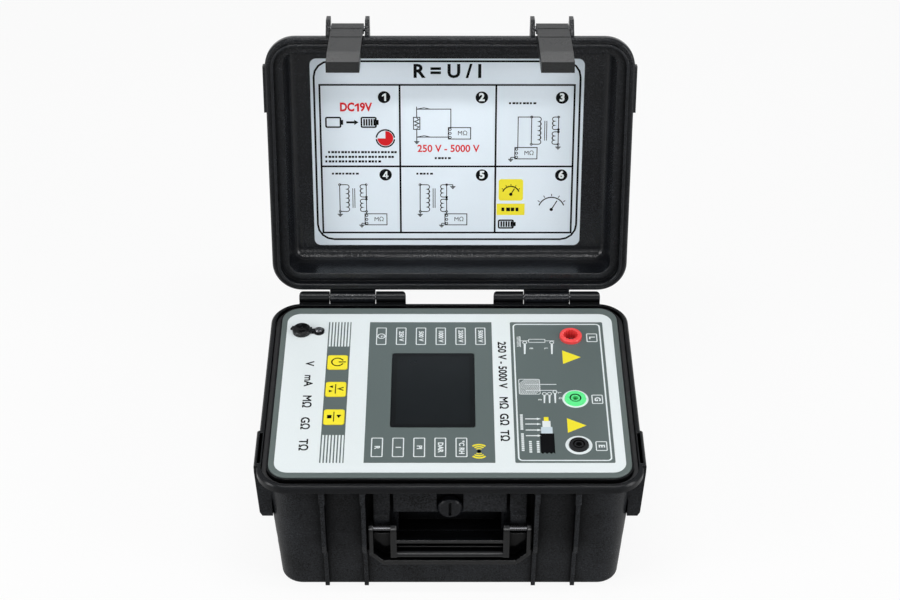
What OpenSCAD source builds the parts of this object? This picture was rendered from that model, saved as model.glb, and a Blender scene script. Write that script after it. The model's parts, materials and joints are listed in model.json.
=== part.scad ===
// Insulation resistance tester built into a hinged carrying case, with its lid open.
// X runs to the right, Y to the back and Z up. The origin is the middle of the underside.

/* [Case] */
// Width over the rim flange
rim_w = 273.4; // [250:0.2:320]
// Depth over the rim flange
rim_d = 203.2; // [190:0.2:240]
// Corner radius of the rim flange
rim_corner = 22.5; // [22:0.5:30]
// Height of the base up to its lip
base_h = 114; // [108:1:130]
// Height of the lid above the parting line
lid_h = 34.6; // [31:0.2:42]
// Height of a rim flange
flange_h = 7; // [6:0.25:9]
// How far a flange stands out from the wall behind it
flange_out = 8.7; // [8:0.1:9.5]
// Outline corner that the walls of the base are drawn in from
wall_corner = 32; // [28:0.5:34]
// How much nearer to the rim the side walls of the base are than its front and back
wall_wide = 3.4; // [2:0.1:4]
// Draft of the case walls in degrees
wall_draft = 3.5; // [2.5:0.1:4]
// Thickness of the case walls
wall_t = 4; // [3:0.25:4.5]
// Rounding of the outer edges
edge_round = 3.5; // [2:0.25:4]
// Rounding of the edge round the underside
foot_round = 2; // [1:0.25:4]
// Rounding of the flange edges
rim_round = 1.2; // [0.6:0.1:1.6]
// Gap between the closed lid and the base
part_gap = 0.4; // [0.3:0.1:0.8]

/* [Rim seal and panel] */
// Width of the outer lip of the base
lip_w = 3.6; // [3:0.1:4]
// Width of the seal groove
groove_w = 3.6; // [3.4:0.1:4]
// Depth of the seal groove below the lip
groove_deep = 6; // [5:0.25:6.25]
// Height of the rubber seal
gasket_h = 3; // [2:0.1:3.2]
// Thickness of the wall between groove and panel
inner_wall_t = 1.1; // [0.8:0.1:1.4]
// Height of that wall above the lip
inner_wall_rise = 1; // [0.5:0.1:1.4]
// Width of the lid's sealing tongue
tongue_w = 2.2; // [1.8:0.1:2.3]
// Length of the lid's sealing tongue
tongue_deep = 2.4; // [1.5:0.1:2.5]
// Gap between the tongue and the groove's outer side
tongue_gap = 0.6; // [0.5:0.05:0.7]
// Thickness of the instrument panel
panel_t = 3; // [2:0.25:4]
// Height of the panel's face above the lip
panel_proud = 2; // [1.6:0.1:3]
// Thickness of the printed overlay
overlay_t = 0.4; // [0.2:0.1:0.8]
// Distance of the overlay from the rim at the front and sides
overlay_side = 12.8; // [10:0.1:16]
// Distance of the overlay from the rim at the back
overlay_back = 16.4; // [12:0.1:20]
// Corner radius of the printed overlay
overlay_corner = 10; // [6:0.5:14]
// Clearance round fixed pieces
fit_gap = 0.3; // [0.2:0.05:0.5]
// Running clearance of a pin in its hole
run_gap = 0.05; // [0.02:0.01:0.1]

/* [Display and keys] */
// Width of the display window
window_w = 61; // [50:0.5:66]
// Depth of the display window
window_d = 81.3; // [70:0.1:90]
// Place of the window's middle, left to right
window_x = -12.4; // [-20:0.1:-5]
// Thickness of the display window
window_t = 1.8; // [1:0.1:2.4]
// Thickness of the display module
display_t = 6; // [4:0.25:6.4]
// Border of the display module round its window
display_border = 4; // [3:0.5:8]
// Width of a key
key_w = 15.2; // [12:0.2:17]
// Depth of a key
key_d = 16; // [13:0.2:20]
// Corner radius of a key
key_corner = 2; // [1:0.25:4]
// How far a key stands above the overlay
key_proud = 0.6; // [0.5:0.1:1.5]
// Thickness of a key's retaining flange
key_flange_t = 1; // [0.8:0.1:1.5]
// Width of a key's retaining flange all round
key_flange_w = 1.4; // [1:0.1:2]
// Width of a key switch
switch_w = 7.6; // [6:0.1:9]
// Height of a key switch without its plunger
switch_h = 3.2; // [2.4:0.1:4]
// Radius of a key switch's plunger
plunger_r = 2.5; // [1.5:0.1:3]
// Travel of a key
key_travel = 0.4; // [0.3:0.05:0.5]
// Distance of the key column from the left side of the rim
key_in = 53; // [50:0.1:56]
// Spacing of the keys, front to back
key_pitch = 30.1; // [26:0.1:36]

/* [Sockets] */
// Distance of the socket row from the right side of the rim
socket_in = 45.1; // [43:0.1:48]
// Distance of the line socket from the back of the rim
line_back = 44; // [40:0.1:50]
// Distance of the guard socket behind the earth socket
guard_step = 49; // [40:0.1:54]
// Distance of the earth socket from the front of the rim
earth_front = 40.5; // [38:0.1:46]
// Outer radius of the line socket's shroud
line_r = 8.5; // [8:0.1:9]
// Height of the line socket's shroud above the overlay
line_rise = 2.8; // [2:0.1:5]
// Rounding of the shroud's edge
line_round = 1.1; // [0.6:0.1:1.6]
// Outer radius of the guard socket's flange
guard_r = 8; // [7.4:0.1:9]
// Outer radius of the earth socket's flange
earth_r = 7.3; // [7:0.1:9]
// Height of the guard and earth flanges above the overlay
socket_rise = 1.2; // [0.8:0.1:2.5]
// Draw-in of the guard and earth flanges at the top
socket_bevel = 0.4; // [0.2:0.1:0.6]
// Outer radius of the ring groove round a plug hole
ring_r = 4.4; // [4:0.1:5]
// Depth of the ring groove
ring_deep = 1.5; // [1:0.1:2]
// Radius of a socket's threaded stem
stem_r = 6.4; // [6:0.1:6.6]
// Length of a socket's stem below the panel's face
stem_len = 22; // [16:0.5:28]
// Radius of the well in the line socket
well_r = 5; // [4.4:0.1:5.2]
// Number of flutes in the line socket's well
flute_count = 14; // [8:1:20]
// Radius of one flute
flute_r = 0.7; // [0.5:0.05:0.8]
// Radius of the hole that takes a test plug
plug_r = 2; // [1.8:0.05:2.2]
// Wall of a socket's contact tube
contact_wall = 0.9; // [0.6:0.05:1.1]
// Depth of a plug hole
plug_deep = 16; // [12:0.5:20]
// How deep a contact sits below the top of its socket
contact_sink = 3; // [2:0.1:4]
// Radius over the corners of a socket nut
nut_r = 9.6; // [9:0.1:11]
// Thickness of a socket nut
nut_t = 3; // [2:0.25:5]

/* [Charging inlet] */
// Distance of the charging inlet from the left side of the rim
jack_in = 24.3; // [23:0.1:26]
// Distance of the charging inlet from the back of the rim
jack_back = 37.6; // [36:0.1:46]
// Radius of the inlet's bezel
bezel_r = 4.6; // [4.4:0.1:4.7]
// Height of the inlet's bezel above the overlay
bezel_rise = 1.2; // [0.8:0.1:1.4]
// Radius of the inlet's stem
jack_stem_r = 4; // [3.8:0.1:4.1]
// Length of the inlet below the panel's face
jack_len = 15; // [12:0.5:20]
// Radius of the inlet's plug hole
jack_hole_r = 2.8; // [2.5:0.05:3]
// Depth of the inlet's plug hole
jack_hole_deep = 9.5; // [8:0.5:11]
// Radius of the inlet's centre pin
jack_pin_r = 1.05; // [0.6:0.05:1.25]
// Radius over the corners of the inlet's nut
jack_nut_r = 7; // [6.4:0.1:8]
// Outer radius of the dust cap
cap_r = 7; // [6.9:0.1:7.6]
// Wall of the dust cap
cap_wall = 1.3; // [1:0.1:1.3]
// Height of the dust cap
cap_h = 3.6; // [3.4:0.1:6]
// Rounding of the dust cap's edge
cap_round = 1.5; // [0.8:0.1:1.6]
// Height of the dust cap's hinge above the overlay
cap_axis_up = 2.1; // [2:0.05:2.2]
// Radius of the dust cap's hinge roll
cap_roll_r = 0.7; // [0.5:0.05:0.7]
// Length of the dust cap's pull tab
cap_tab = 1.8; // [1:0.1:2]
// Width of the dust cap's pull tab
cap_tab_w = 3.6; // [2.4:0.1:4.4]
// Thickness of the dust cap's pull tab
cap_tab_t = 1.4; // [1:0.1:1.8]
// Direction of the dust cap's pull tab in degrees
cap_tab_turn = 155; // [130:1:220]
// Thickness of the dust cap's tether
tether_t = 1.2; // [0.8:0.1:1.6]
// Width of the dust cap's tether
tether_w = 5; // [3:0.25:6]
// Outer radius of the tether's eye
tether_eye_r = 4.3; // [3.6:0.1:4.6]
// Distance from the inlet to the tether's eye
tether_reach = 13; // [12.8:0.1:14]

/* [Sounder] */
// Place of the sounder's port, left to right
sounder_x = 20.5; // [14:0.1:26]
// Distance of the sounder's port from the front of the rim
sounder_front = 34.2; // [30:0.1:40]
// Radius of the sounder's port
port_r = 1.4; // [0.8:0.1:2]
// Radius of the sounder
sounder_r = 5.5; // [4:0.25:6]
// Height of the sounder
sounder_h = 5; // [3:0.25:6]

/* [Inside] */
// Gap between the panel and the circuit board
board_drop = 7; // [6.8:0.1:9]
// Thickness of the circuit board
board_t = 1.6; // [1:0.1:2.4]
// How far the circuit board runs past the key column
board_past = 13.3; // [12:0.1:16]
// Gap between the circuit board and the socket nuts
board_clear = 7; // [4:0.25:10]
// Distance of the circuit board from the rim at the front
board_front = 37.6; // [34:0.2:44]
// Distance of the circuit board from the rim at the back
board_back = 23.6; // [20:0.2:28]
// Radius of a board spacer
spacer_r = 3; // [2.5:0.1:4]
// Distance of a spacer from the board's edges
spacer_in = 5; // [4.5:0.25:7]
// Radius of a machine screw
screw_r = 1.5; // [1:0.1:1.6]
// Radius of a screw head
screw_head_r = 3; // [2.4:0.1:3.4]
// Height of a screw head
screw_head_h = 1.8; // [1.2:0.1:2.4]
// Length of a panel screw
panel_screw_len = 14; // [10:0.5:20]
// Gap between the pieces on the floor, and between them and the walls
floor_gap = 10; // [6:0.5:12]
// Depth of the battery pack
battery_d = 66; // [50:1:72]
// Height of the battery pack
battery_h = 44; // [30:1:50]
// Thickness of the battery strap
strap_t = 1.5; // [1:0.1:2]
// Width of the battery strap
strap_w = 18; // [12:1:24]
// Length of a foot of the battery strap
strap_foot = 12; // [10:0.5:14]
// Height of a boss on the floor of the base
floor_boss_h = 1.5; // [1:0.1:2.5]
// Radius of a boss on the floor of the base
floor_boss_r = 4; // [3.6:0.1:5]
// Width of the high voltage module
hv_w = 62; // [50:1:66]
// Depth of the high voltage module
hv_d = 96; // [80:1:104]
// Height of the high voltage module
hv_h = 40; // [30:1:46]
// Thickness of the module's mounting flange
hv_flange_t = 2.5; // [2:0.25:4]
// Width of the module's mounting flange
hv_flange_w = 10; // [8:0.5:12]
// Radius of a boss under a panel screw
boss_r = 8; // [7.5:0.1:8.6]
// Length of a boss under a panel screw
boss_len = 40; // [24:1:60]
// How far a boss under a panel screw runs into the wall
boss_bite = 0.5; // [0.3:0.1:0.8]

/* [Hinges] */
// Distance of the hinge axis behind the rim
hinge_back = 6; // [5.6:0.1:6.6]
// Height of the hinge axis above the lip
hinge_rise = 1; // [0.8:0.1:1.4]
// Radius of a hinge knuckle
knuckle_r = 4.6; // [4:0.1:4.8]
// Rounding of a hinge's free corners
hinge_round = 8; // [6:0.25:9]
// Distance of a hinge pin's ends from the ends of its hinge
pin_end = 2.8; // [2.6:0.1:4]
// Radius of a hinge, handle or latch pin
pin_r = 2; // [1.5:0.1:2.2]
// Inner end of a hinge from the middle of the case
hinge_in = 34; // [28:0.5:40]
// Length of an outer knuckle
outer_knuckle = 23.2; // [18:0.2:28]
// Length of the lid's knuckle
lid_knuckle = 35.2; // [28:0.2:38]
// Gap between two knuckles
knuckle_gap = 0.5; // [0.3:0.05:0.8]
// Opening angle of the lid in degrees
lid_open = 104.3; // [95:0.1:110]
// Reach of the heel that stops the lid
heel_reach = 8; // [7.4:0.1:8.6]
// Thickness of the heel that stops the lid
heel_t = 3.2; // [2.4:0.1:4]

/* [Latches] */
// Width of a latch
latch_w = 23.6; // [20:0.2:24]
// Gap between a latch and the ribs beside it
latch_gap = 1.05; // [0.7:0.05:1.2]
// Height of the latch pivot above the lip
latch_pivot_up = 17; // [15:0.25:20]
// Place of the latch pivot outside the rim's face
latch_pivot_out = 2; // [1.5:0.1:2.5]
// Length of the latch below the lip
latch_drop = 68; // [60:0.5:74]
// Radius of the latch round its pin
latch_barrel_r = 4; // [3.6:0.1:4.4]
// Thickness of the latch's outer skin
latch_skin = 2.6; // [2:0.1:3]
// Thickness of a latch cheek
latch_cheek = 2.6; // [2:0.1:4]
// How far the latch hook reaches under the flange
hook_reach = 1.8; // [1.6:0.1:2]
// Thickness of the latch hook
hook_t = 4.2; // [3:0.1:6]
// Bevel of the latch hook's nose
hook_bevel = 1; // [0.5:0.1:1.4]
// How far the locked latch's face stands out of the rim's face at the hook
latch_stand = 4; // [3.6:0.1:4.6]
// Distance below the lip where the latch's face bends in
latch_bend = 49; // [42:0.2:52]
// How far the latch's face lies behind the rim's face at that bend
latch_draw = 0.4; // [0.2:0.1:1]
// How far the latch's face lies behind the rim's face at its lower edge
latch_tuck = 3.7; // [2.5:0.1:4.5]
// Deepening of a latch cheek below the hook
cheek_swell = 3; // [2:0.1:4]
// Distance below the lip where a cheek has deepened
cheek_top = 30.6; // [26:0.2:34]
// Distance below the lip where a cheek reaches its full depth
cheek_full = 54.4; // [50:0.2:57]
// Gap between a locked latch's cheek and the wall of the base
cheek_gap = 1.5; // [1.5:0.1:3]
// Angle of the latch at rest out of its locked place, in degrees
latch_rest = 5; // [5:0.25:12]
// Thickness of a rib beside a latch
rib_t = 3.1; // [3:0.1:5]
// Height of the step in a rib above the underside
rib_step = 43; // [40:1:56]
// How far the lower part of a rib stands out of the wall
rib_low = 3; // [2:0.1:4]
// Height over which a rib runs out to its full depth
rib_run = 12; // [6:0.5:14]
// Draw-in of a rib where that run starts
rib_nose = 2.2; // [1.4:0.1:3]
// Width of a rib's head under the flange
rib_head_w = 4.3; // [3.6:0.1:4.4]
// Height of a rib's head under the flange
rib_head_h = 10; // [6:0.5:12]
// How far the lid's latch ears stand out of the rim's face
ear_out = 9.4; // [8:0.1:10]
// Height of an ear's lower corner above the lid's flange
ear_run = 7.6; // [6:0.1:8.4]
// Distance of an ear's upper corner below the top of the lid
ear_drop = 8.6; // [7:0.1:10]
// Bevel of an ear's corners
ear_cut = 1.5; // [1:0.1:2]

/* [Handle] */
// Height of the handle pivot above the underside
handle_z = 65; // [60:0.5:70]
// Place of the handle pivot behind the rim's face
handle_in = 9.1; // [8.5:0.1:10]
// Half the width over the handle's outer arms
handle_half = 58; // [52:0.1:66]
// Gap between the handle and the ribs beside it
handle_gap = 1.6; // [0.6:0.1:2]
// Length of the handle below its pivot
handle_len = 32.5; // [28:0.5:34]
// Size of the bevel at the handle's lower corners
handle_bevel = 10; // [6:0.25:12]
// Depth of the handle's section, front to back
handle_deep = 10; // [8:0.25:11]
// Height of the handle's grip
grip_h = 24.4; // [22:0.1:26]
// Height of the bar along the bottom of the handle's frame
frame_h = 4; // [3.4:0.1:6]
// Gap between that bar and the handle's rounded bar
grip_groove = 1.5; // [1:0.1:2.5]
// Radius of the handle's rounded bar
grip_bar_r = 3.2; // [2.6:0.1:3.6]
// Wall of the handle's channel section
grip_wall = 2.6; // [2:0.1:3.4]
// Thickness of the rib inside the handle's grip
grip_rib = 1; // [0.8:0.1:2]
// Height of that rib above the handle's lower edge
grip_rib_up = 15; // [14.6:0.1:17]
// How far that rib lies behind the handle's front
grip_rib_in = 2.8; // [2:0.1:5]
// Thickness of an outer arm of the handle
outer_arm = 3; // [2.6:0.1:4]
// Thickness of an inner arm of the handle
inner_arm = 4.4; // [3:0.1:5]
// Length of a pivot boss on the base
boss_w = 11.4; // [8:0.2:12]
// Radius of a pivot boss on the base
pivot_r = 6.3; // [5.5:0.1:6.5]
// Gap between a pivot boss and an arm
arm_gap = 0.5; // [0.4:0.1:1.2]
// Depth of the handle's recess behind the rim's face
recess_in = 17.6; // [16:0.1:19]
// Gap below the handle in its recess
recess_gap = 4; // [3:0.25:6]
// Wall behind the recess
recess_wall = 3; // [2.5:0.1:4]
// Half the width of the finger pocket
pocket_half = 37; // [30:0.5:38]
// Depth of the finger pocket behind the recess
pocket_deep = 11; // [8:0.5:12]
// Height of the finger pocket's top above the handle pivot
pocket_up = 8; // [7:0.25:8.5]
// Height of the band's lower edge above the handle pivot
band_up = 13; // [11:0.25:14]
// How far the band over the pocket lies behind the rim's face
band_in = 12.2; // [11.8:0.1:13]
// Width of the slots at the ends of that band
band_slot = 2.4; // [1.6:0.1:3.2]

/* [Pressure valve] */
// Height of the valve above the handle pivot
valve_up = 17.5; // [17.25:0.25:19]
// Radius of the valve knob
knob_r = 8.8; // [8:0.1:9.6]
// Thickness of the valve knob
knob_t = 5; // [4:0.1:5.4]
// Bevel of the knob's edge
knob_bevel = 1.2; // [0.6:0.1:1.6]
// Length of the slot across the knob
knob_slot_len = 13; // [10:0.2:15]
// Width of the slot across the knob
knob_slot_w = 1.8; // [1:0.1:3]
// Depth of the slot across the knob
knob_slot_deep = 1.4; // [0.8:0.1:2]
// Wall between the knob's slot and its bore
knob_web = 0.5; // [0.4:0.1:0.8]
// Radius of the spindle that the knob turns on
spindle_r = 2.5; // [2:0.1:3]
// Thickness of the valve's flange
valve_flange_t = 1; // [0.8:0.1:1.4]
// Radius of the valve's flange
valve_flange_r = 8; // [7:0.1:8.2]
// Radius of the valve's threaded stem
valve_r = 4; // [3.4:0.1:4.4]
// Clearance round the knob in its niche
niche_gap = 0.6; // [0.5:0.1:1]
// Thickness of the valve's seal ring
seal_t = 1.4; // [1:0.1:1.8]
// Thickness of the valve's nut
valve_nut_t = 3; // [2:0.25:4]
// Length of the valve's stem past its nut
valve_tail = 1; // [0.5:0.1:2]

/* [Side lugs] */
// Distance of a side lug's middle from the front of the rim
lug_front = 40.1; // [38:0.1:50]
// Length of a side lug
lug_len = 36; // [34:0.5:44]
// How far a side lug stands out of the rim
lug_out = 1.8; // [1.4:0.1:3]
// Height of a side lug on the base
lug_h = 50; // [30:1:56]
// Wall outside the strap slot in a lug
lug_wall = 2.2; // [1.8:0.1:2.4]
// Width of the strap slot in a lug
slot_w = 2.2; // [2:0.1:2.3]
// Length of the strap slot in a lug
slot_len = 31; // [26:0.5:31]

/* [Instruction sheet] */
// Distance of the instruction sheet from the rim at the sides
sheet_side = 33; // [30:0.1:45]
// Distance of the instruction sheet from the rim at the back and front
sheet_end = 25.4; // [24:0.1:36]
// How far the instruction sheet lies to the left of the middle
sheet_left = 2; // [0:0.1:3]
// Thickness of the instruction sheet
sheet_t = 0.4; // [0.2:0.1:0.8]
// Corner radius of the instruction sheet
sheet_corner = 5; // [3:0.5:10]

/* [Hidden] */
$fn = 64;

over = 1;
arc_step = 15;
hex_sides = 6;
bevel_turn = 45;
knuckle_tip = knuckle_r * cos(bevel_turn);
half_x = rim_w / 2;
half_y = rim_d / 2;
slope = tan(wall_draft);
flange_z = base_h - flange_h;
panel_z = base_h + panel_proud;
seat_z = panel_z - panel_t;
face_z = panel_z + overlay_t;
groove_in = lip_w + groove_w;
pocket_in = groove_in + inner_wall_t;
lid_z = base_h + part_gap;
hinge_y = half_y + hinge_back;
hinge_z = base_h + hinge_rise;
overlay_w = rim_w - 2 * overlay_side;
overlay_d = rim_d - overlay_side - overlay_back;
overlay_y = (overlay_side - overlay_back) / 2;
key_x = key_in - half_x;
socket_x = half_x - socket_in;
line_y = half_y - line_back;
earth_y = earth_front - half_y;
guard_y = earth_y + guard_step;
jack_x = jack_in - half_x;
jack_y = half_y - jack_back;
sounder_y = sounder_front - half_y;
lug_y = lug_front - half_y;
board_z = seat_z - board_drop;
board_low = board_z - board_t;
board_w = socket_x - nut_r - board_clear - key_x + board_past;
board_d = rim_d - board_front - board_back;
board_x = key_x - board_past + board_w / 2;
board_y = (board_front - board_back) / 2;
foot_z = wall_t + floor_boss_h;
floor_x = half_x - wall_in(wall_t) - wall_t;
floor_y = half_y - wall_in(wall_t) - wall_t;
hv_x = floor_x - floor_gap - hv_w / 2;
hv_y = floor_y - floor_gap - hv_flange_w - hv_d / 2;
battery_w = floor_x + hv_x - hv_w / 2 - 2 * (floor_gap + strap_t + strap_foot);
battery_x = (hv_x - hv_w / 2 - floor_x) / 2;
battery_y = hv_y;
sheet_w = rim_w - 2 * sheet_side;
sheet_d = rim_d - 2 * sheet_end;
pivot_y = -half_y + handle_in;
recess_y = -half_y + recess_in;
band_y = -half_y + band_in;
pocket_y = recess_y + pocket_deep;
valve_z = handle_z + valve_up;
valve_nut_r = (valve_up - pocket_up - recess_wall - fit_gap) / cos(180 / hex_sides);
latch_pivot_y = -half_y - latch_pivot_out;
latch_pivot_z = base_h + latch_pivot_up;
key_ys = [for (i = [1, 0, -1]) overlay_y + i * key_pitch];
side_rib = latch_w / 2 + latch_gap + rib_t / 2;
recess_half = handle_half + handle_gap;
latch_x = recess_half + rib_t / 2 + side_rib;
cap_hinge_x = jack_x + cap_r + fit_gap / 2;
boss_spots = [for (x = [-1, 1], y = [-1, 0, 1])
  [x * (half_x - wall_in(seat_z) - wall_t - boss_r + boss_bite + (y == 0 ? wall_wide : 0)),
   y * (half_y - wall_in(seat_z) - wall_t - boss_r + boss_bite)]];
spacer_spots = [for (x = [-1, 1], y = [-1, 1])
  [board_x + x * (board_w / 2 - spacer_in), board_y + y * (board_d / 2 - spacer_in)]];
strap_spots = [for (s = [-1, 1]) [battery_x + s * (battery_w / 2 + strap_t + strap_foot / 2), battery_y]];
hv_spots = [for (s = [-1, 1]) [hv_x, hv_y + s * (hv_d / 2 + hv_flange_w / 2)]];

// Inset of the outer wall face from the rim outline at a height in the base
function wall_in(z) = flange_out + (base_h - z) * slope;

// Inset of the lid's outer wall face from the rim outline at a height when closed
function lid_wall_in(z) = flange_out + (z - lid_z) * slope;

// Points of a quarter round: inset and height run from the first edge to the second
function quarter(inset, z, r, up) =
  [for (a = [0:arc_step:90]) [inset + r * (1 - sin(a)), z + up * r * (1 - cos(a))]];

// Points of a rounded outer edge of a turned piece, from its side to its top
function crown(r, h, edge) =
  [for (a = [0:arc_step:90]) [r - edge * (1 - cos(a)), h - edge * (1 - sin(a))]];

// A block with the rim's rounded outline, whose inset changes with height.
// The profile lists [inset, height] from one end of the block to the other. The outline may have
// another corner than the rim's, and be wider than it on both sides.
module case_block(profile, corner = rim_corner, wide = 0) {
  last = len(profile) - 1;
  core_x = half_x + wide - corner;
  core_y = half_y - corner;
  module side(half, length) {
    linear_extrude(height = 2 * length, center = true)
      polygon(concat([for (p = profile) [half - p[0], p[1]]],
                     [for (i = [last:-1:0]) [profile[i][0] - half, profile[i][1]]]));
  }
  rotate([90, 0, 0]) side(half_x + wide, core_y);
  rotate([90, 0, 90]) side(half_y, core_x);
  for (x = [-1, 1], y = [-1, 1])
    translate([x * core_x, y * core_y, 0])
      rotate_extrude()
        polygon(concat([[0, profile[0][1]]],
                       [for (p = profile) [corner - p[0], p[1]]],
                       [[0, profile[last][1]]]));
}

// A ring with the rim's outline between two insets
module case_ring(outer, inner, low, high) {
  difference() {
    case_block([[outer, low], [outer, high]]);
    case_block([[inner, low - over], [inner, high + over]]);
  }
}

// A flat plate with rounded corners, centred on a point, from one height to another
module plate(w, d, corner, low, high) {
  translate([0, 0, low])
    linear_extrude(height = high - low) {
      square([w - 2 * corner, d], center = true);
      square([w, d - 2 * corner], center = true);
      for (x = [-1, 1], y = [-1, 1])
        translate([x * (w / 2 - corner), y * (d / 2 - corner)])
          circle(r = corner);
    }
}

// A box given by its two corners
module box(low, high) {
  translate(low) cube(high - low);
}

// A cylinder along X between two places
module rod_x(from, to, r, y, z) {
  translate([from, y, z]) rotate([0, 90, 0]) cylinder(r = r, h = to - from);
}

// A cylinder along Y between two places
module rod_y(from, to, r, x, z) {
  translate([x, from, z]) rotate([-90, 0, 0]) cylinder(r = r, h = to - from);
}

// A side profile in Y and Z carried along X
module profile_x(from, to, points) {
  translate([from, 0, 0]) rotate([90, 0, 90]) linear_extrude(height = to - from) polygon(points);
}

// A flat outline in X and Z carried along Y
module slab_y(from, to) {
  translate([0, to, 0]) rotate([90, 0, 0]) linear_extrude(height = to - from) children();
}

// The lid's closed frame turned to the open pose
module opened() {
  translate([0, hinge_y, hinge_z]) rotate([-lid_open, 0, 0]) translate([0, -hinge_y, -hinge_z]) children();
}

// A countersunk screw whose flat head lies at the origin
module flat_screw(length) {
  translate([0, 0, -screw_head_h]) cylinder(r1 = screw_r, r2 = screw_head_r, h = screw_head_h);
  translate([0, 0, -length]) cylinder(r = screw_r, h = length - screw_head_h / 2);
}

// A pan-head screw whose head sits on the origin
module pan_screw(length) {
  rotate_extrude()
    polygon([[0, 0], [screw_head_r, 0], [screw_head_r, screw_head_h / 2],
             [screw_head_r - screw_head_h / 2, screw_head_h], [0, screw_head_h]]);
  translate([0, 0, -length]) cylinder(r = screw_r, h = length + screw_head_h / 2);
}

// The outer form of the base from its underside to the wall beside the panel
module base_outer() {
  case_block(concat(quarter(wall_in(0), 0, foot_round, 1), [[wall_in(flange_z + over), flange_z + over]]),
             wall_corner, wall_wide);
  case_block([[rim_round, flange_z], [0, flange_z + rim_round], [0, base_h - rim_round],
              [rim_round, base_h], [lip_w, base_h], [groove_in, base_h + inner_wall_rise]]);
}

// The hollow of the base under the panel
module base_hollow() {
  case_block([[wall_in(wall_t) + wall_t, wall_t], [wall_in(seat_z) + wall_t, seat_z + over]],
             wall_corner, wall_wide);
}

// The outline of the handle's recess, seen from the front
module recess_outline(gap) {
  low = handle_z - handle_len - gap;
  polygon([[-recess_half, flange_z - fit_gap], [-recess_half, low + handle_bevel],
           [handle_bevel - recess_half, low], [recess_half - handle_bevel, low],
           [recess_half, low + handle_bevel], [recess_half, flange_z - fit_gap],
           [boss_out(), flange_z - fit_gap], [boss_out(), handle_z + band_up],
           [-boss_out(), handle_z + band_up], [-boss_out(), flange_z - fit_gap]]);
}

// Outer end of a pivot boss from the middle of the case
function boss_out() = handle_half - outer_arm - arm_gap;

// Outer side of an inner arm of the handle from the middle of the case
function arm_out() = boss_out() - boss_w - arm_gap;

// The recess for the folded handle, the finger pocket and the valve's niche
module recess_cut() {
  slab_y(-half_y - over, recess_y) recess_outline(recess_gap);
  box([-boss_out() - over / 2, -half_y - over, handle_z + band_up - over / 2],
      [boss_out() + over / 2, band_y, flange_z - fit_gap]);
  for (s = [-1, 1])
    box([s > 0 ? arm_out() - band_slot : -arm_out(), -half_y - over, handle_z + band_up - over],
        [s > 0 ? arm_out() : band_slot - arm_out(), recess_y, flange_z - fit_gap]);
  box([-pocket_half, recess_y - over, handle_z - handle_len + grip_h - grip_wall],
      [pocket_half, pocket_y, handle_z + pocket_up]);
  rod_y(-half_y - over, recess_y, knob_r + niche_gap, 0, valve_z);
  box([-knob_r - niche_gap, -half_y - over, valve_z], [knob_r + niche_gap, recess_y, flange_z - fit_gap]);
}

// The walls that close the recess off from the inside of the base
module recess_housing() {
  intersection() {
    base_outer();
    union() {
      box([-recess_half - recess_wall, -half_y, handle_z - handle_len - recess_gap - recess_wall],
          [recess_half + recess_wall, recess_y + recess_wall, flange_z]);
      box([-pocket_half - recess_wall, recess_y,
           handle_z - handle_len + grip_h - grip_wall - recess_wall],
          [pocket_half + recess_wall, pocket_y + recess_wall, handle_z + pocket_up + recess_wall]);
    }
  }
}

// A pivot boss of the handle with the web that carries it
module pivot_boss(side) {
  inner = side > 0 ? boss_out() - boss_w : -boss_out();
  rod_x(inner, inner + boss_w, pivot_r, pivot_y, handle_z);
  profile_x(inner, inner + boss_w,
    [[recess_y + over, handle_z - pivot_r], [pivot_y, handle_z - pivot_r], [pivot_y, handle_z + pivot_r],
     [band_y, handle_z + band_up + over], [recess_y + over, handle_z + band_up + over]]);
}

// A rib beside a latch: a head and full depth under the flange, then a low rib down to the underside
module latch_rib(x) {
  foot = [-half_y + wall_in(0) - rib_low, 0];
  profile_x(x - rib_t / 2, x + rib_t / 2,
    [[foot[0] + foot_round / 2, 0], [foot[0], foot_round / 2],
     [-half_y + wall_in(rib_step) - rib_low, rib_step - rib_low],
     [-half_y + rib_nose, rib_step + rib_low], [-half_y, rib_step + rib_run],
     [-half_y, flange_z + rim_round],
     [-half_y + wall_in(flange_z) + wall_t / 2, flange_z + rim_round],
     [-half_y + wall_in(0) + wall_t / 4, foot_round], [-half_y + wall_in(0) + foot_round, 0]]);
  box([x - rib_head_w / 2, -half_y, flange_z - rib_head_h],
      [x + rib_head_w / 2, -half_y + wall_in(flange_z) + wall_t / 2, flange_z + rim_round]);
}

// A side lug with its strap slot, on the right where side is 1
module base_lug(side) {
  inner = half_x + wall_wide - wall_in(base_h - lug_h) - wall_t / 4;
  mirror([side > 0 ? 0 : 1, 0, 0])
    difference() {
      translate([0, lug_y - lug_len / 2, 0]) rotate([90, 0, 180]) mirror([1, 0, 0])
        linear_extrude(height = lug_len)
          polygon([[inner, base_h - lug_h], [half_x - lug_out, base_h - lug_h],
                   [half_x, base_h - lug_h + 2 * lug_out],
                   [half_x + lug_out, flange_z], [half_x + lug_out, base_h - rim_round],
                   [half_x + lug_out - rim_round, base_h], [inner, base_h]]);
      strap_slot(base_h - lug_h - over, base_h + over);
    }
}

// The space of a strap slot on the right
module strap_slot(low, high) {
  outer = half_x + lug_out - lug_wall;
  box([outer - slot_w, lug_y - slot_len / 2, low], [outer, lug_y + slot_len / 2, high]);
}

// A fixed knuckle of the base and its web, from one place along X to another
module base_knuckle(from, to) {
  rod_x(from, to, knuckle_r, hinge_y, hinge_z);
  profile_x(from, to,
    [[half_y - wall_t, flange_z], [half_y + rim_round, flange_z],
     [hinge_y + knuckle_tip, hinge_z - knuckle_tip], [hinge_y, hinge_z],
     [half_y + rim_round, base_h - rim_round], [half_y - rim_round, base_h - rim_round]]);
}

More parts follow.
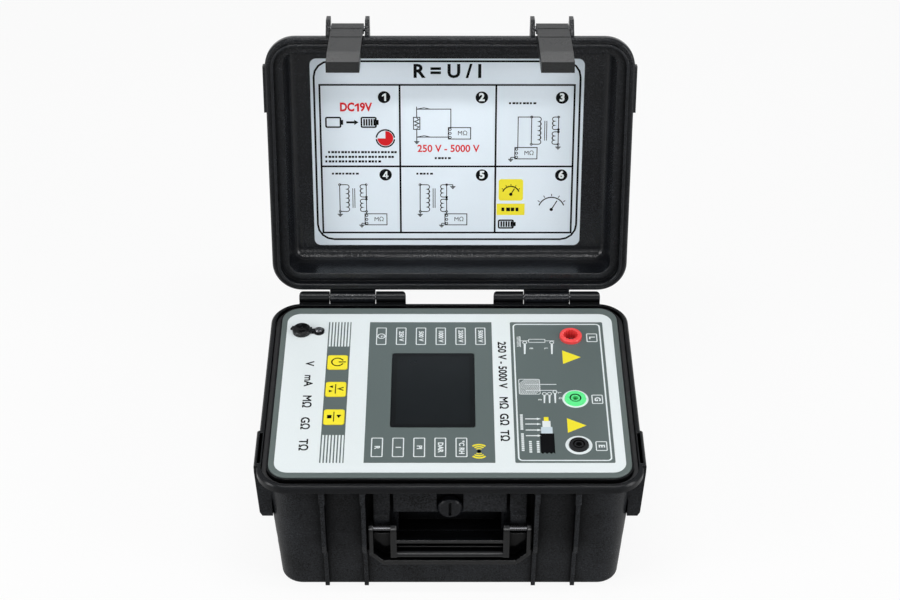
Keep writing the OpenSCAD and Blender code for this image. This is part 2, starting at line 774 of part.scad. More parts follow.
// The space outside a hinge's rounded corner, with the hinge on one side of its end
module hinge_corner(end, into) {
  rear = hinge_y + knuckle_r;
  mid = end + into * hinge_round;
  difference() {
    box([min(end - into * over, mid), rear - hinge_round, flange_z - over],
        [max(end - into * over, mid), rear + over, hinge_z + knuckle_r + over]);
    translate([mid, rear - hinge_round, flange_z - 2 * over]) cylinder(r = hinge_round, h = base_h);
  }
}

// Places along X where a hinge on the right starts and ends its pieces
hinge_out = hinge_in + 2 * outer_knuckle + lid_knuckle + 2 * knuckle_gap;
lid_knuckle_from = hinge_in + outer_knuckle + knuckle_gap;
hinge_spans = [[hinge_in, hinge_in + outer_knuckle], [hinge_out - outer_knuckle, hinge_out]];

module base_shell() color([0.27, 0.28, 0.29]) {
  difference() {
    union() {
      difference() {
        base_outer();
        base_hollow();
      }
      recess_housing();
      intersection() {
        base_outer();
        for (p = boss_spots)
          translate([p[0], p[1], seat_z - boss_len]) cylinder(r = boss_r, h = boss_len);
      }
      for (p = concat(strap_spots, hv_spots))
        translate([p[0], p[1], wall_t - over]) cylinder(r = floor_boss_r, h = over + floor_boss_h);
      for (s = [-1, 1], r = [-1, 1]) latch_rib(s * latch_x + r * side_rib);
      for (s = [-1, 1]) base_lug(s);
      for (s = [-1, 1], span = hinge_spans)
        base_knuckle(s > 0 ? span[0] : -span[1], s > 0 ? span[1] : -span[0]);
    }
    difference() {
      recess_cut();
      for (s = [-1, 1]) pivot_boss(s);
    }
    case_ring(lip_w, groove_in, base_h - groove_deep, base_h + 2 * over);
    case_block([[pocket_in, seat_z], [pocket_in, panel_z + over]]);
    for (s = [0, 1]) mirror([s, 0, 0]) strap_slot(base_h - lug_h - over, base_h + over);
    for (p = boss_spots)
      translate([p[0], p[1], seat_z + panel_t - panel_screw_len]) cylinder(r = screw_r, h = panel_screw_len);
    for (p = concat(strap_spots, hv_spots))
      translate([p[0], p[1], wall_t / 2]) cylinder(r = screw_r, h = wall_t);
    rod_x(-hinge_out - over, hinge_out + over, pin_r, hinge_y, hinge_z);
    for (s = [0, 1])
      mirror([s, 0, 0]) {
        hinge_corner(hinge_in, 1);
        hinge_corner(hinge_out, -1);
      }
    rod_x(-recess_half, recess_half, pin_r, pivot_y, handle_z);
    rod_y(recess_y - over, recess_y + recess_wall + over, valve_r, 0, valve_z);
  }
}

module rim_gasket() color([0.05, 0.05, 0.05]) {
  case_ring(lip_w + fit_gap, groove_in - fit_gap, base_h - groove_deep, base_h - groove_deep + gasket_h);
}

// The openings that the panel and its overlay share
module panel_cuts(low, high) {
  for (y = key_ys)
    translate([key_x, y, 0])
      plate(key_w + 2 * fit_gap, key_d + 2 * fit_gap, key_corner + fit_gap, low, high);
  for (y = [line_y, guard_y, earth_y])
    translate([socket_x, y, low]) cylinder(r = stem_r + fit_gap / 2, h = high - low);
  translate([jack_x, jack_y, low]) cylinder(r = jack_stem_r + fit_gap / 2, h = high - low);
  translate([window_x, overlay_y, 0])
    plate(window_w + 2 * fit_gap, window_d + 2 * fit_gap, key_corner, low, high);
  translate([sounder_x, sounder_y, low]) cylinder(r = port_r, h = high - low);
  translate([jack_x + tether_reach, jack_y, low]) cylinder(r = screw_r, h = high - low);
}

module front_panel() color([0.44, 0.47, 0.47]) {
  difference() {
    case_block([[pocket_in + fit_gap, seat_z], [pocket_in + fit_gap, panel_z - rim_round / 2],
                [pocket_in + fit_gap + rim_round / 2, panel_z]]);
    panel_cuts(seat_z - over, panel_z + over);
    for (p = boss_spots) translate([p[0], p[1], panel_z]) flat_screw(panel_screw_len);
  }
}

module panel_screws() color([0.6, 0.6, 0.62]) {
  for (p = boss_spots) translate([p[0], p[1], panel_z]) flat_screw(panel_screw_len);
}

module panel_overlay() color([0.93, 0.95, 0.96]) {
  difference() {
    translate([0, overlay_y, 0]) plate(overlay_w, overlay_d, overlay_corner, panel_z, face_z);
    panel_cuts(panel_z - over, face_z + over);
  }
}

module display_window() color([0.03, 0.03, 0.04]) {
  translate([window_x, overlay_y, 0]) plate(window_w, window_d, key_corner, face_z - window_t, face_z);
}

module display_module() color([0.12, 0.13, 0.14]) {
  translate([window_x, overlay_y, 0]) {
    plate(window_w + 2 * display_border, window_d + 2 * display_border, key_corner,
          seat_z - display_t, seat_z);
    plate(window_w - 2 * fit_gap, window_d - 2 * fit_gap, key_corner, seat_z - over, face_z - window_t);
  }
}

module main_board() color([0.06, 0.33, 0.18]) {
  difference() {
    translate([board_x, board_y, 0]) plate(board_w, board_d, spacer_r, board_low, board_z);
    for (p = spacer_spots)
      translate([p[0], p[1], board_low - over]) cylinder(r = screw_r, h = board_t + 2 * over);
  }
}

module board_spacers() color([0.75, 0.65, 0.35]) {
  for (p = spacer_spots)
    translate([p[0], p[1], board_z])
      difference() {
        cylinder(r = spacer_r, h = board_drop, $fn = hex_sides);
        translate([0, 0, -over]) cylinder(r = screw_r, h = board_drop);
      }
}

module board_screws() color([0.6, 0.6, 0.62]) {
  for (p = spacer_spots)
    translate([p[0], p[1], board_low]) rotate([180, 0, 0]) pan_screw(board_t + board_drop / 2);
}

module key_switches() color([0.15, 0.15, 0.16]) {
  plunger = seat_z - fit_gap - key_flange_t - key_travel - run_gap;
  for (y = key_ys)
    translate([key_x, y, board_z]) {
      plate(switch_w, switch_w, key_corner / 2, 0, switch_h);
      cylinder(r = plunger_r, h = plunger - board_z);
    }
}

// A key with its crowned top and the flange that keeps it under the panel
module key(index) {
  top = face_z + key_proud;
  flange_top = seat_z - fit_gap;
  translate([key_x, key_ys[index], 0]) {
    plate(key_w, key_d, key_corner, flange_top - key_flange_t / 2, top - key_proud / 2);
    plate(key_w - key_proud, key_d - key_proud, key_corner, top - key_proud, top);
    plate(key_w + 2 * key_flange_w, key_d + 2 * key_flange_w, key_corner,
          flange_top - key_flange_t, flange_top);
  }
}

module power_key() color([0.98, 0.85, 0.1]) key(0);

module voltage_key() color([0.98, 0.85, 0.1]) key(1);

module start_key() color([0.98, 0.85, 0.1]) key(2);

// Insulated body of a socket with a flat flange and a ring groove round the plug hole
module flat_socket(y, flange_r) {
  contact_r = plug_r + contact_wall;
  top = face_z + socket_rise;
  translate([socket_x, y, 0])
    difference() {
      union() {
        translate([0, 0, face_z])
          cylinder(r1 = flange_r, r2 = flange_r - socket_bevel, h = socket_rise);
        translate([0, 0, panel_z - stem_len]) cylinder(r = stem_r, h = stem_len + overlay_t + over / 2);
      }
      translate([0, 0, panel_z - stem_len - over])
        cylinder(r = contact_r, h = stem_len + over + top - panel_z - contact_sink);
      translate([0, 0, top - contact_sink - over]) cylinder(r = plug_r + fit_gap, h = contact_sink + 2 * over);
      translate([0, 0, top - ring_deep])
        difference() {
          cylinder(r = ring_r, h = ring_deep + over);
          translate([0, 0, -over]) cylinder(r = plug_r + fit_gap + contact_wall, h = ring_deep + 3 * over);
        }
    }
}

// A brass contact tube whose plug hole is open at the top
module contact(y, top) {
  translate([socket_x, y, 0])
    difference() {
      translate([0, 0, panel_z - stem_len - contact_sink])
        cylinder(r = plug_r + contact_wall, h = top - panel_z + stem_len + contact_sink);
      translate([0, 0, top - plug_deep]) cylinder(r = plug_r, h = plug_deep + over);
    }
}

module line_socket() color([0.9, 0.16, 0.18]) {
  top = face_z + line_rise;
  floor_z = panel_z - plug_deep;
  translate([socket_x, line_y, 0])
    difference() {
      union() {
        translate([0, 0, face_z])
          rotate_extrude()
            polygon(concat([[0, 0], [line_r, 0]], crown(line_r, line_rise, line_round), [[0, line_rise]]));
        translate([0, 0, panel_z - stem_len]) cylinder(r = stem_r, h = stem_len + overlay_t + over / 2);
      }
      translate([0, 0, floor_z]) cylinder(r = well_r, h = top - floor_z + over);
      for (i = [0:flute_count - 1])
        rotate([0, 0, i * 360 / flute_count])
          translate([well_r, 0, floor_z]) cylinder(r = flute_r, h = top - floor_z + over, $fn = 24);
      translate([0, 0, panel_z - stem_len - over])
        cylinder(r = plug_r + contact_wall, h = stem_len + over);
    }
}

module guard_socket() color([0.32, 0.85, 0.48]) flat_socket(guard_y, guard_r);

module earth_socket() color([0.06, 0.06, 0.07]) flat_socket(earth_y, earth_r);

module line_contact() color([0.8, 0.65, 0.3]) contact(line_y, face_z - contact_sink);

module guard_contact() color([0.8, 0.65, 0.3]) contact(guard_y, face_z + socket_rise - contact_sink);

module earth_contact() color([0.8, 0.65, 0.3]) contact(earth_y, face_z + socket_rise - contact_sink);

module socket_nuts() color([0.7, 0.7, 0.72]) {
  for (y = [line_y, guard_y, earth_y])
    translate([socket_x, y, seat_z - nut_t])
      difference() {
        cylinder(r = nut_r, h = nut_t, $fn = hex_sides);
        translate([0, 0, -over]) cylinder(r = stem_r, h = nut_t + 2 * over);
      }
}

module charging_jack() color([0.1, 0.1, 0.11]) {
  top = face_z + bezel_rise;
  translate([jack_x, jack_y, 0])
    difference() {
      union() {
        translate([0, 0, face_z]) cylinder(r = bezel_r, h = bezel_rise);
        translate([0, 0, panel_z - jack_len]) cylinder(r = jack_stem_r, h = jack_len + overlay_t + over / 2);
      }
      translate([0, 0, top - jack_hole_deep]) cylinder(r = jack_hole_r, h = jack_hole_deep + over);
      translate([0, 0, panel_z - jack_len - over]) cylinder(r = jack_pin_r, h = jack_len);
    }
}

module jack_contact() color([0.8, 0.65, 0.3]) {
  low = panel_z - jack_len - contact_sink;
  translate([jack_x, jack_y, low]) cylinder(r = jack_pin_r, h = face_z - low);
}

module jack_nut() color([0.7, 0.7, 0.72]) {
  translate([jack_x, jack_y, seat_z - nut_t])
    difference() {
      cylinder(r = jack_nut_r, h = nut_t, $fn = hex_sides);
      translate([0, 0, -over]) cylinder(r = jack_stem_r, h = nut_t + 2 * over);
    }
}

module cap_tether() color([0.05, 0.05, 0.05]) {
  eye_x = jack_x + tether_reach;
  difference() {
    union() {
      translate([eye_x, jack_y, face_z]) cylinder(r = tether_eye_r, h = tether_t);
      box([cap_hinge_x + fit_gap, jack_y - tether_w / 2, face_z],
          [eye_x, jack_y + tether_w / 2, face_z + tether_t]);
    }
    translate([eye_x, jack_y, face_z - over]) cylinder(r = screw_r, h = tether_t + 2 * over);
  }
}

module tether_screw() color([0.6, 0.6, 0.62]) {
  translate([jack_x + tether_reach, jack_y, face_z + tether_t]) pan_screw(tether_t + overlay_t + panel_t);
}

module dust_cap() color([0.05, 0.05, 0.05]) {
  gap = fit_gap / 2;
  translate([jack_x, jack_y, face_z + gap])
    difference() {
      union() {
        rotate_extrude()
          polygon(concat([[0, 0], [cap_r, 0]], crown(cap_r, cap_h, cap_round), [[0, cap_h]]));
        rotate([0, 0, cap_tab_turn])
          box([cap_r - cap_wall / 2, -cap_tab_w / 2, 0], [cap_r + cap_tab, cap_tab_w / 2, cap_tab_t]);
        rod_y(-tether_w / 2, tether_w / 2, cap_roll_r, cap_hinge_x - jack_x, cap_axis_up - gap);
      }
      translate([0, 0, -over]) cylinder(r = cap_r - cap_wall, h = over + cap_h - cap_wall + gap);
    }
}

module sounder() color([0.1, 0.1, 0.11]) {
  translate([sounder_x, sounder_y, seat_z - sounder_h])
    difference() {
      cylinder(r = sounder_r, h = sounder_h);
      translate([0, 0, sounder_h / 2]) cylinder(r = port_r, h = sounder_h);
    }
}

module battery_pack() color([0.15, 0.3, 0.6]) {
  translate([battery_x, battery_y, wall_t])
    rotate([90, 0, 0]) {
      cell = battery_h / 2;
      linear_extrude(height = battery_d, center = true) {
        translate([0, cell]) square([battery_w - 2 * cell, battery_h], center = true);
        for (s = [-1, 1]) translate([s * (battery_w / 2 - cell), cell]) circle(r = cell);
      }
    }
}

module battery_strap() color([0.55, 0.56, 0.58]) {
  inner = battery_w / 2;
  outer = inner + strap_t;
  foot_top = floor_boss_h + strap_t;
  difference() {
    translate([battery_x, battery_y, wall_t])
      rotate([90, 0, 0]) linear_extrude(height = strap_w, center = true)
        polygon([[-outer - strap_foot, floor_boss_h], [-inner, floor_boss_h], [-inner, battery_h],
                 [inner, battery_h], [inner, floor_boss_h], [outer + strap_foot, floor_boss_h],
                 [outer + strap_foot, foot_top], [outer, foot_top], [outer, battery_h + strap_t],
                 [-outer, battery_h + strap_t], [-outer, foot_top], [-outer - strap_foot, foot_top]]);
    for (p = strap_spots)
      translate([p[0], p[1], foot_z - over]) cylinder(r = screw_r, h = strap_t + 2 * over);
  }
}

module high_voltage_module() color([0.2, 0.2, 0.22]) {
  difference() {
    translate([hv_x, hv_y, 0]) {
      plate(hv_w, hv_d, spacer_r, foot_z, foot_z + hv_h);
      plate(hv_w / 2, hv_d + 2 * hv_flange_w, spacer_r, foot_z, foot_z + hv_flange_t);
    }
    for (p = hv_spots)
      translate([p[0], p[1], foot_z - over]) cylinder(r = screw_r, h = hv_flange_t + 2 * over);
  }
}

module floor_screws() color([0.6, 0.6, 0.62]) {
  for (p = strap_spots)
    translate([p[0], p[1], foot_z + strap_t]) pan_screw(strap_t + floor_boss_h + wall_t / 2);
  for (p = hv_spots)
    translate([p[0], p[1], foot_z + hv_flange_t]) pan_screw(hv_flange_t + floor_boss_h + wall_t / 2);
}

module valve_stem() color([0.12, 0.12, 0.13]) {
  flange_y = recess_y - seal_t - valve_flange_t;
  rod_y(flange_y, recess_y - seal_t, valve_flange_r, 0, valve_z);
  rod_y(flange_y, recess_y + recess_wall + valve_nut_t + valve_tail, valve_r, 0, valve_z);
  rod_y(knob_front() + knob_slot_deep + knob_web + fit_gap, recess_y, spindle_r, 0, valve_z);
}

// Front face of the valve knob
function knob_front() = recess_y - seal_t - valve_flange_t - fit_gap - knob_t;

module valve_seal() color([0.05, 0.05, 0.05]) {
  difference() {
    rod_y(recess_y - seal_t, recess_y, valve_r + seal_t, 0, valve_z);
    rod_y(recess_y - seal_t - over, recess_y + over, valve_r, 0, valve_z);
  }
}

module valve_nut() color([0.12, 0.12, 0.13]) {
  from = recess_y + recess_wall;
  difference() {
    translate([0, from, valve_z]) rotate([-90, 0, 0]) cylinder(r = valve_nut_r, h = valve_nut_t, $fn = hex_sides);
    rod_y(from - over, from + valve_nut_t + over, valve_r, 0, valve_z);
  }
}

module valve_knob() color([0.33, 0.34, 0.35]) {
  front = knob_front();
  difference() {
    translate([0, front, valve_z])
      rotate([-90, 0, 0])
        rotate_extrude()
          polygon([[0, 0], [knob_r - knob_bevel, 0], [knob_r, knob_bevel], [knob_r, knob_t], [0, knob_t]]);
    box([-knob_slot_w / 2, front - over, valve_z - knob_slot_len / 2],
        [knob_slot_w / 2, front + knob_slot_deep, valve_z + knob_slot_len / 2]);
    rod_y(front + knob_slot_deep + knob_web, front + knob_t + over, spindle_r + run_gap, 0, valve_z);
  }
}

// The handle's outline seen from the front, drawn in by an inset
function handle_outline(inset) =
  let (side = handle_half - inset,
       low = handle_z - handle_len + inset,
       bend = inset * tan(bevel_turn / 2))
  [[-side, handle_z], [-side, low - inset + handle_bevel + bend],
   [-handle_half + handle_bevel + bend, low], [handle_half - handle_bevel - bend, low],
   [side, low - inset + handle_bevel + bend], [side, handle_z]];

module carry_handle() color([0.3, 0.31, 0.32]) {
  front = pivot_y - handle_deep / 2;
  back = pivot_y + handle_deep / 2;
  low = handle_z - handle_len;
  inner_out = arm_out();
  inner_in = inner_out - inner_arm;
  web_front = back - grip_wall;
  bar_low = low + frame_h + grip_groove;
  bar_end = handle_half - handle_bevel;
  difference() {
    union() {
      slab_y(front, back)
        difference() {
          polygon(handle_outline(0));
          polygon(handle_outline(outer_arm));
        }
      slab_y(web_front, back)
        difference() {
          polygon(handle_outline(outer_arm / 2));
          translate([-handle_half, low + grip_h]) square([2 * handle_half, handle_len]);
        }
      box([-bar_end, front, low], [bar_end, back, low + frame_h]);
      rod_x(-inner_out, inner_out, grip_bar_r, front + grip_bar_r, bar_low + grip_bar_r);
      box([-inner_out, front + grip_bar_r, bar_low], [inner_out, back, bar_low + 2 * grip_bar_r]);
      box([-inner_out, front, low + grip_h - grip_wall], [inner_out, back, low + grip_h]);
      box([-inner_out, front + grip_rib_in, low + grip_rib_up],
          [inner_out, back, low + grip_rib_up + grip_rib]);
      for (s = [-1, 1], arm = [[inner_in, inner_out], [handle_half - outer_arm, handle_half]]) {
        from = s > 0 ? arm[0] : -arm[1];
        rod_x(from, from + arm[1] - arm[0], handle_deep / 2, pivot_y, handle_z);
      }
      for (s = [-1, 1])
        box([s > 0 ? inner_in : -inner_out, front, bar_low + grip_groove],
            [s > 0 ? inner_out : -inner_in, back, handle_z]);
    }
    rod_x(-recess_half, recess_half, pin_r + run_gap, pivot_y, handle_z);
  }
}

module handle_pins() color([0.7, 0.7, 0.72]) {
  inner = arm_out() - inner_arm;
  for (s = [-1, 1]) {
    from = s > 0 ? inner + fit_gap : -handle_half + fit_gap;
    rod_x(from, from + handle_half - inner - 2 * fit_gap, pin_r, pivot_y, handle_z);
  }
}

module hinge_pins() color([0.7, 0.7, 0.72]) {
  for (s = [-1, 1]) {
    from = s > 0 ? hinge_in + pin_end : -hinge_out + pin_end;
    rod_x(from, from + hinge_out - hinge_in - 2 * pin_end, pin_r, hinge_y, hinge_z);
  }
}

// The outer form of the closed lid
module lid_outer() {
  top = lid_z + lid_h;
  edge = quarter(lid_wall_in(top), top, edge_round, -1);
  case_block(concat(
    [[rim_round, lid_z], [0, lid_z + rim_round], [0, lid_z + flange_h - rim_round],
     [rim_round, lid_z + flange_h], [lid_wall_in(lid_z + flange_h), lid_z + flange_h]],
    [for (i = [len(edge) - 1:-1:0]) edge[i]]));
}

// The hollow of the closed lid: a step behind the seal, then walls with a rounded edge
module lid_hollow() {
  top = lid_z + lid_h - wall_t;
  round_in = 2 * edge_round;
  step_z = lid_z + flange_h / 2;
  edge = quarter(lid_wall_in(top) + wall_t, top, round_in, -1);
  case_block(concat(
    [[tongue_in(), lid_z - over], [tongue_in(), step_z], [lid_wall_in(step_z) + wall_t, step_z]],
    [for (i = [len(edge) - 1:-1:0]) edge[i]]));
}

// Inset of the inner face of the lid's sealing tongue
function tongue_in() = lip_w + tongue_gap + tongue_w;

// An ear beside a latch on the closed lid
module lid_ear(x) {
  top = lid_z + lid_h;
  low = lid_z + flange_h + ear_run;
  high = top - ear_drop;
  profile_x(x - rib_t / 2, x + rib_t / 2,
    [[-half_y + flange_out, lid_z + flange_h / 2], [-half_y, lid_z + flange_h - rim_round],
     [ear_cut - half_y - ear_out, low - ear_cut], [-half_y - ear_out, low],
     [-half_y - ear_out, high - ear_cut], [ear_cut - half_y - ear_out, high],
     [-half_y + flange_out, top - edge_round],
     [-half_y + flange_out + wall_t, top - edge_round]]);
}

// A knuckle of the closed lid with its web and the heel that stops the open lid
module lid_knuckle_piece(from, to) {
  rod_x(from, to, knuckle_r, hinge_y, hinge_z);
  profile_x(from, to,
    [[half_y - wall_t, lid_z + flange_h - rim_round], [half_y - rim_round, lid_z + rim_round],
     [half_y + rim_round, lid_z + rim_round], [hinge_y, hinge_z],
     [hinge_y + knuckle_tip, hinge_z + knuckle_tip],
     [half_y + rim_round, lid_z + flange_h - rim_round]]);
  stop = acos((hinge_back - fit_gap) / heel_reach);
  translate([from, hinge_y, hinge_z]) rotate([lid_open + stop, 0, 0])
    box([0, -heel_reach, -heel_t], [to - from, 0, 0]);
}

module lid_shell() color([0.25, 0.26, 0.27]) {
  pin_from = latch_x - side_rib - rib_t / 2 - over;
  pin_to = latch_x + side_rib + rib_t / 2 + over;
  opened()
    difference() {
      union() {
        difference() {
          union() {
            lid_outer();
            case_ring(tongue_in() - tongue_w, tongue_in(), lid_z - tongue_deep, lid_z + over);
            for (s = [-1, 1])
              box([s > 0 ? half_x - over : -half_x - lug_out, lug_y - lug_len / 2, lid_z + rim_round],
                  [s > 0 ? half_x + lug_out : over - half_x, lug_y + lug_len / 2, lid_z + flange_h]);
          }
          lid_hollow();
        }
        for (s = [-1, 1], r = [-1, 1])
          difference() {
            lid_ear(s * latch_x + r * side_rib);
            lid_hollow();
          }
        for (s = [-1, 1])
          lid_knuckle_piece(s > 0 ? lid_knuckle_from : -lid_knuckle_from - lid_knuckle,
                            s > 0 ? lid_knuckle_from + lid_knuckle : -lid_knuckle_from);
      }
      rod_x(-hinge_out, hinge_out, pin_r + run_gap, hinge_y, hinge_z);
      for (s = [-1, 1])
        rod_x(s > 0 ? pin_from : -pin_to, s > 0 ? pin_to : -pin_from, pin_r, latch_pivot_y, latch_pivot_z);
    }
}

module instruction_sheet() color([0.9, 0.94, 0.97]) {
  top = lid_z + lid_h - wall_t;
  opened() translate([-sheet_left, 0, 0]) plate(sheet_w, sheet_d, sheet_corner, top - sheet_t, top);
}

// A latch in its locked place: barrel, outer skin, hook under the flange and two cheeks
module locked_latch(x) {
  low = base_h - latch_drop;
  hook_z = flange_z - fit_gap;
  hook_low = hook_z - hook_t;
  hook_y = -half_y + hook_reach;
  cheek_y = -half_y + wall_in(low) - cheek_gap;
  pivot = [latch_pivot_y, latch_pivot_z];
  stand = [-half_y - latch_stand, flange_z];
  bend = [-half_y + latch_draw, base_h - latch_bend];
  tip = [-half_y + latch_tuck, low];
  skin = [latch_skin, 0];
  root = stand[0] + latch_skin / 2;
  cheek = [[root, hook_low], [hook_y, hook_low], [hook_y + cheek_swell, base_h - cheek_top],
           [cheek_y, base_h - cheek_full], [cheek_y, low], tip + skin / 2, bend + skin / 2];
  module side_form(points, inset) {
    profile_x(x - latch_w / 2 + inset, x + latch_w / 2 - inset, points);
  }
  difference() {
    union() {
      rod_x(x - latch_w / 2, x + latch_w / 2, latch_barrel_r, latch_pivot_y, latch_pivot_z);
      side_form([pivot - [latch_barrel_r, 0], stand, bend, tip,
                 tip + skin, bend + skin, stand + skin, pivot], 0);
      side_form([[root, hook_low], [hook_y, hook_low], [hook_y, hook_z - hook_bevel],
                 [hook_y - hook_bevel, hook_z], [root, hook_z]], 0);
      difference() {
        side_form(cheek, 0);
        side_form([for (p = cheek) [p[0], p[1] + latch_skin * (p[1] > low ? -1 : 1)]], latch_cheek);
      }
    }
    rod_x(x - latch_w, x + latch_w, pin_r + run_gap, latch_pivot_y, latch_pivot_z);
  }
}

// A latch at rest: swung a little out of its locked place, on the open lid
module latch(x) {
  opened()
    translate([0, latch_pivot_y, latch_pivot_z]) rotate([-latch_rest, 0, 0])
      translate([0, -latch_pivot_y, -latch_pivot_z]) locked_latch(x);
}

module left_latch() color([0.36, 0.37, 0.38]) latch(-latch_x);

module right_latch() color([0.36, 0.37, 0.38]) latch(latch_x);

module latch_pins() color([0.7, 0.7, 0.72]) {
  reach = side_rib + rib_t / 2 - fit_gap;
  opened()
    for (s = [-1, 1])
      rod_x(s * latch_x - reach, s * latch_x + reach, pin_r, latch_pivot_y, latch_pivot_z);
}

base_shell();
rim_gasket();
front_panel();
panel_screws();
panel_overlay();
display_window();
display_module();
main_board();
board_spacers();
board_screws();
key_switches();
power_key();
voltage_key();
start_key();
line_socket();
guard_socket();
earth_socket();
line_contact();
guard_contact();
earth_contact();
socket_nuts();
charging_jack();
jack_contact();
jack_nut();
cap_tether();
tether_screw();
dust_cap();
sounder();
battery_pack();
battery_strap();
high_voltage_module();
floor_screws();
valve_stem();
valve_seal();
valve_nut();
valve_knob();
carry_handle();
handle_pins();
hinge_pins();
lid_shell();
instruction_sheet();
left_latch();
right_latch();
latch_pins();
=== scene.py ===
import json

import bpy
import numpy as np
from mathutils import Matrix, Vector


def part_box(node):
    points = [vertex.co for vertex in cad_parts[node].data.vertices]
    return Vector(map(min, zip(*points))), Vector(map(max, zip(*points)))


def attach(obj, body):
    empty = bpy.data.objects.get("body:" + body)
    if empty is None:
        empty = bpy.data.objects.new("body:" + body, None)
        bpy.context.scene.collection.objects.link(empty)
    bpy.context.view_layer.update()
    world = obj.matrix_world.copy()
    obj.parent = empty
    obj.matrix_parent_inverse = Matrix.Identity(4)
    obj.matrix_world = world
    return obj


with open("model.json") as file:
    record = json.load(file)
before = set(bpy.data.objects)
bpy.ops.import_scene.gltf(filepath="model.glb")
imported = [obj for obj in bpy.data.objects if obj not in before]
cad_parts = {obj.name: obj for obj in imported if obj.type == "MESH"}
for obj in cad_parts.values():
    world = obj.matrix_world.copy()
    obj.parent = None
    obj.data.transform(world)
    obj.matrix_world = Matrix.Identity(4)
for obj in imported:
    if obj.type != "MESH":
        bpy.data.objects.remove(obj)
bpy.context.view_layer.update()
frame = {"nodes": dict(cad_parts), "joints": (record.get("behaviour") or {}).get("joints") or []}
nodes = frame["nodes"]

# Case base: a deep tub of black plastic, injection moulded in one piece with its flange, ribs, side
# lugs, handle recess and hinge knuckles. The eroded steel mould leaves a fine, even grain on the
# walls. The flange has no grain, and its shade is made darker.
FLANGE_FOOT = 0.1068
FLANGE_DARKER_SHARE, POLISHED_LEVEL = 0.25, 0.45
# The near-black of painted shade, and the open shares of the occlusion between which it fades out.
PAINTED_SHADE_BLACK = (0.0006, 0.0006, 0.0007, 1)
HEMMED_IN, WIDE_OPEN = 0.35, 0.92


class Wire:
    """One socket of a material. Arithmetic on wires adds Math nodes, in either order with numbers."""

    def __init__(self, tree, socket=None):
        self.tree = tree
        self.socket = socket

    def add(self, kind, settings=None, output=0, **inputs):
        """Adds a node: settings first, then a value or link for each socket, by name or as n0, n1 ..."""
        node = self.tree.nodes.new(kind)
        for name, value in (settings or {}).items():
            setattr(node, name, value)
        for name, value in inputs.items():
            socket = node.inputs[int(name[1:]) if name[1:].isdigit() else name.replace("_", " ")]
            if isinstance(value, Wire):
                self.tree.links.new(value.socket, socket)
            else:
                socket.default_value = value
        return Wire(self.tree, node.outputs[output] if node.outputs else None)

    def also(self, output):
        """A wire from another output of the same node, by its name."""
        return Wire(self.tree, self.socket.node.outputs[output])

    def math(self, operation, first, second=0.0):
        """A Math node on one or two wires or numbers."""
        return self.add("ShaderNodeMath", {"operation": operation}, n0=first, n1=second)

    def __add__(self, other):
        return self.math("ADD", self, other)

    def __radd__(self, other):
        return self.math("ADD", other, self)

    def __sub__(self, other):
        return self.math("SUBTRACT", self, other)

    def __rsub__(self, other):
        return self.math("SUBTRACT", other, self)

    def __mul__(self, other):
        return self.math("MULTIPLY", self, other)

    def __rmul__(self, other):
        return self.math("MULTIPLY", other, self)

    def __lt__(self, other):
        return self.math("LESS_THAN", self, other)

    def __gt__(self, other):
        return self.math("GREATER_THAN", self, other)

    def __abs__(self):
        return self.math("ABSOLUTE", self)


def new_finish(name):
    """A new material, a wire to add its nodes with, and the spot on the piece in its own coordinates."""
    material = bpy.data.materials.new(name)
    material.use_nodes = True
    material.node_tree.nodes.clear()
    start = Wire(material.node_tree)
    return material, start, start.add("ShaderNodeTexCoord", output="Object")


def close_finish(start, **sockets):
    """The surface that ends a material, with its sockets filled."""
    surface = start.add("ShaderNodeBsdfPrincipled", **sockets)
    start.add("ShaderNodeOutputMaterial", Surface=surface)


def axes(start, place):
    """The X, Y and Z of a place, as three wires."""
    x = start.add("ShaderNodeSeparateXYZ", Vector=place)
    return x, x.also("Y"), x.also("Z")


def blend_colours(start, factor, first, second):
    """A colour that goes from the first to the second with the factor."""
    return start.add("ShaderNodeMix", {"data_type": "RGBA"}, output=2, n0=factor, n6=first, n7=second)


def toned(colour, share):
    """A colour with this share of its red, green and blue."""
    return tuple(share * part for part in colour[:3]) + (1,)


def dress(material, *names):
    """The named solids take this material."""
    for name in names:
        nodes[name].data.materials.clear()
        nodes[name].data.materials.append(material)


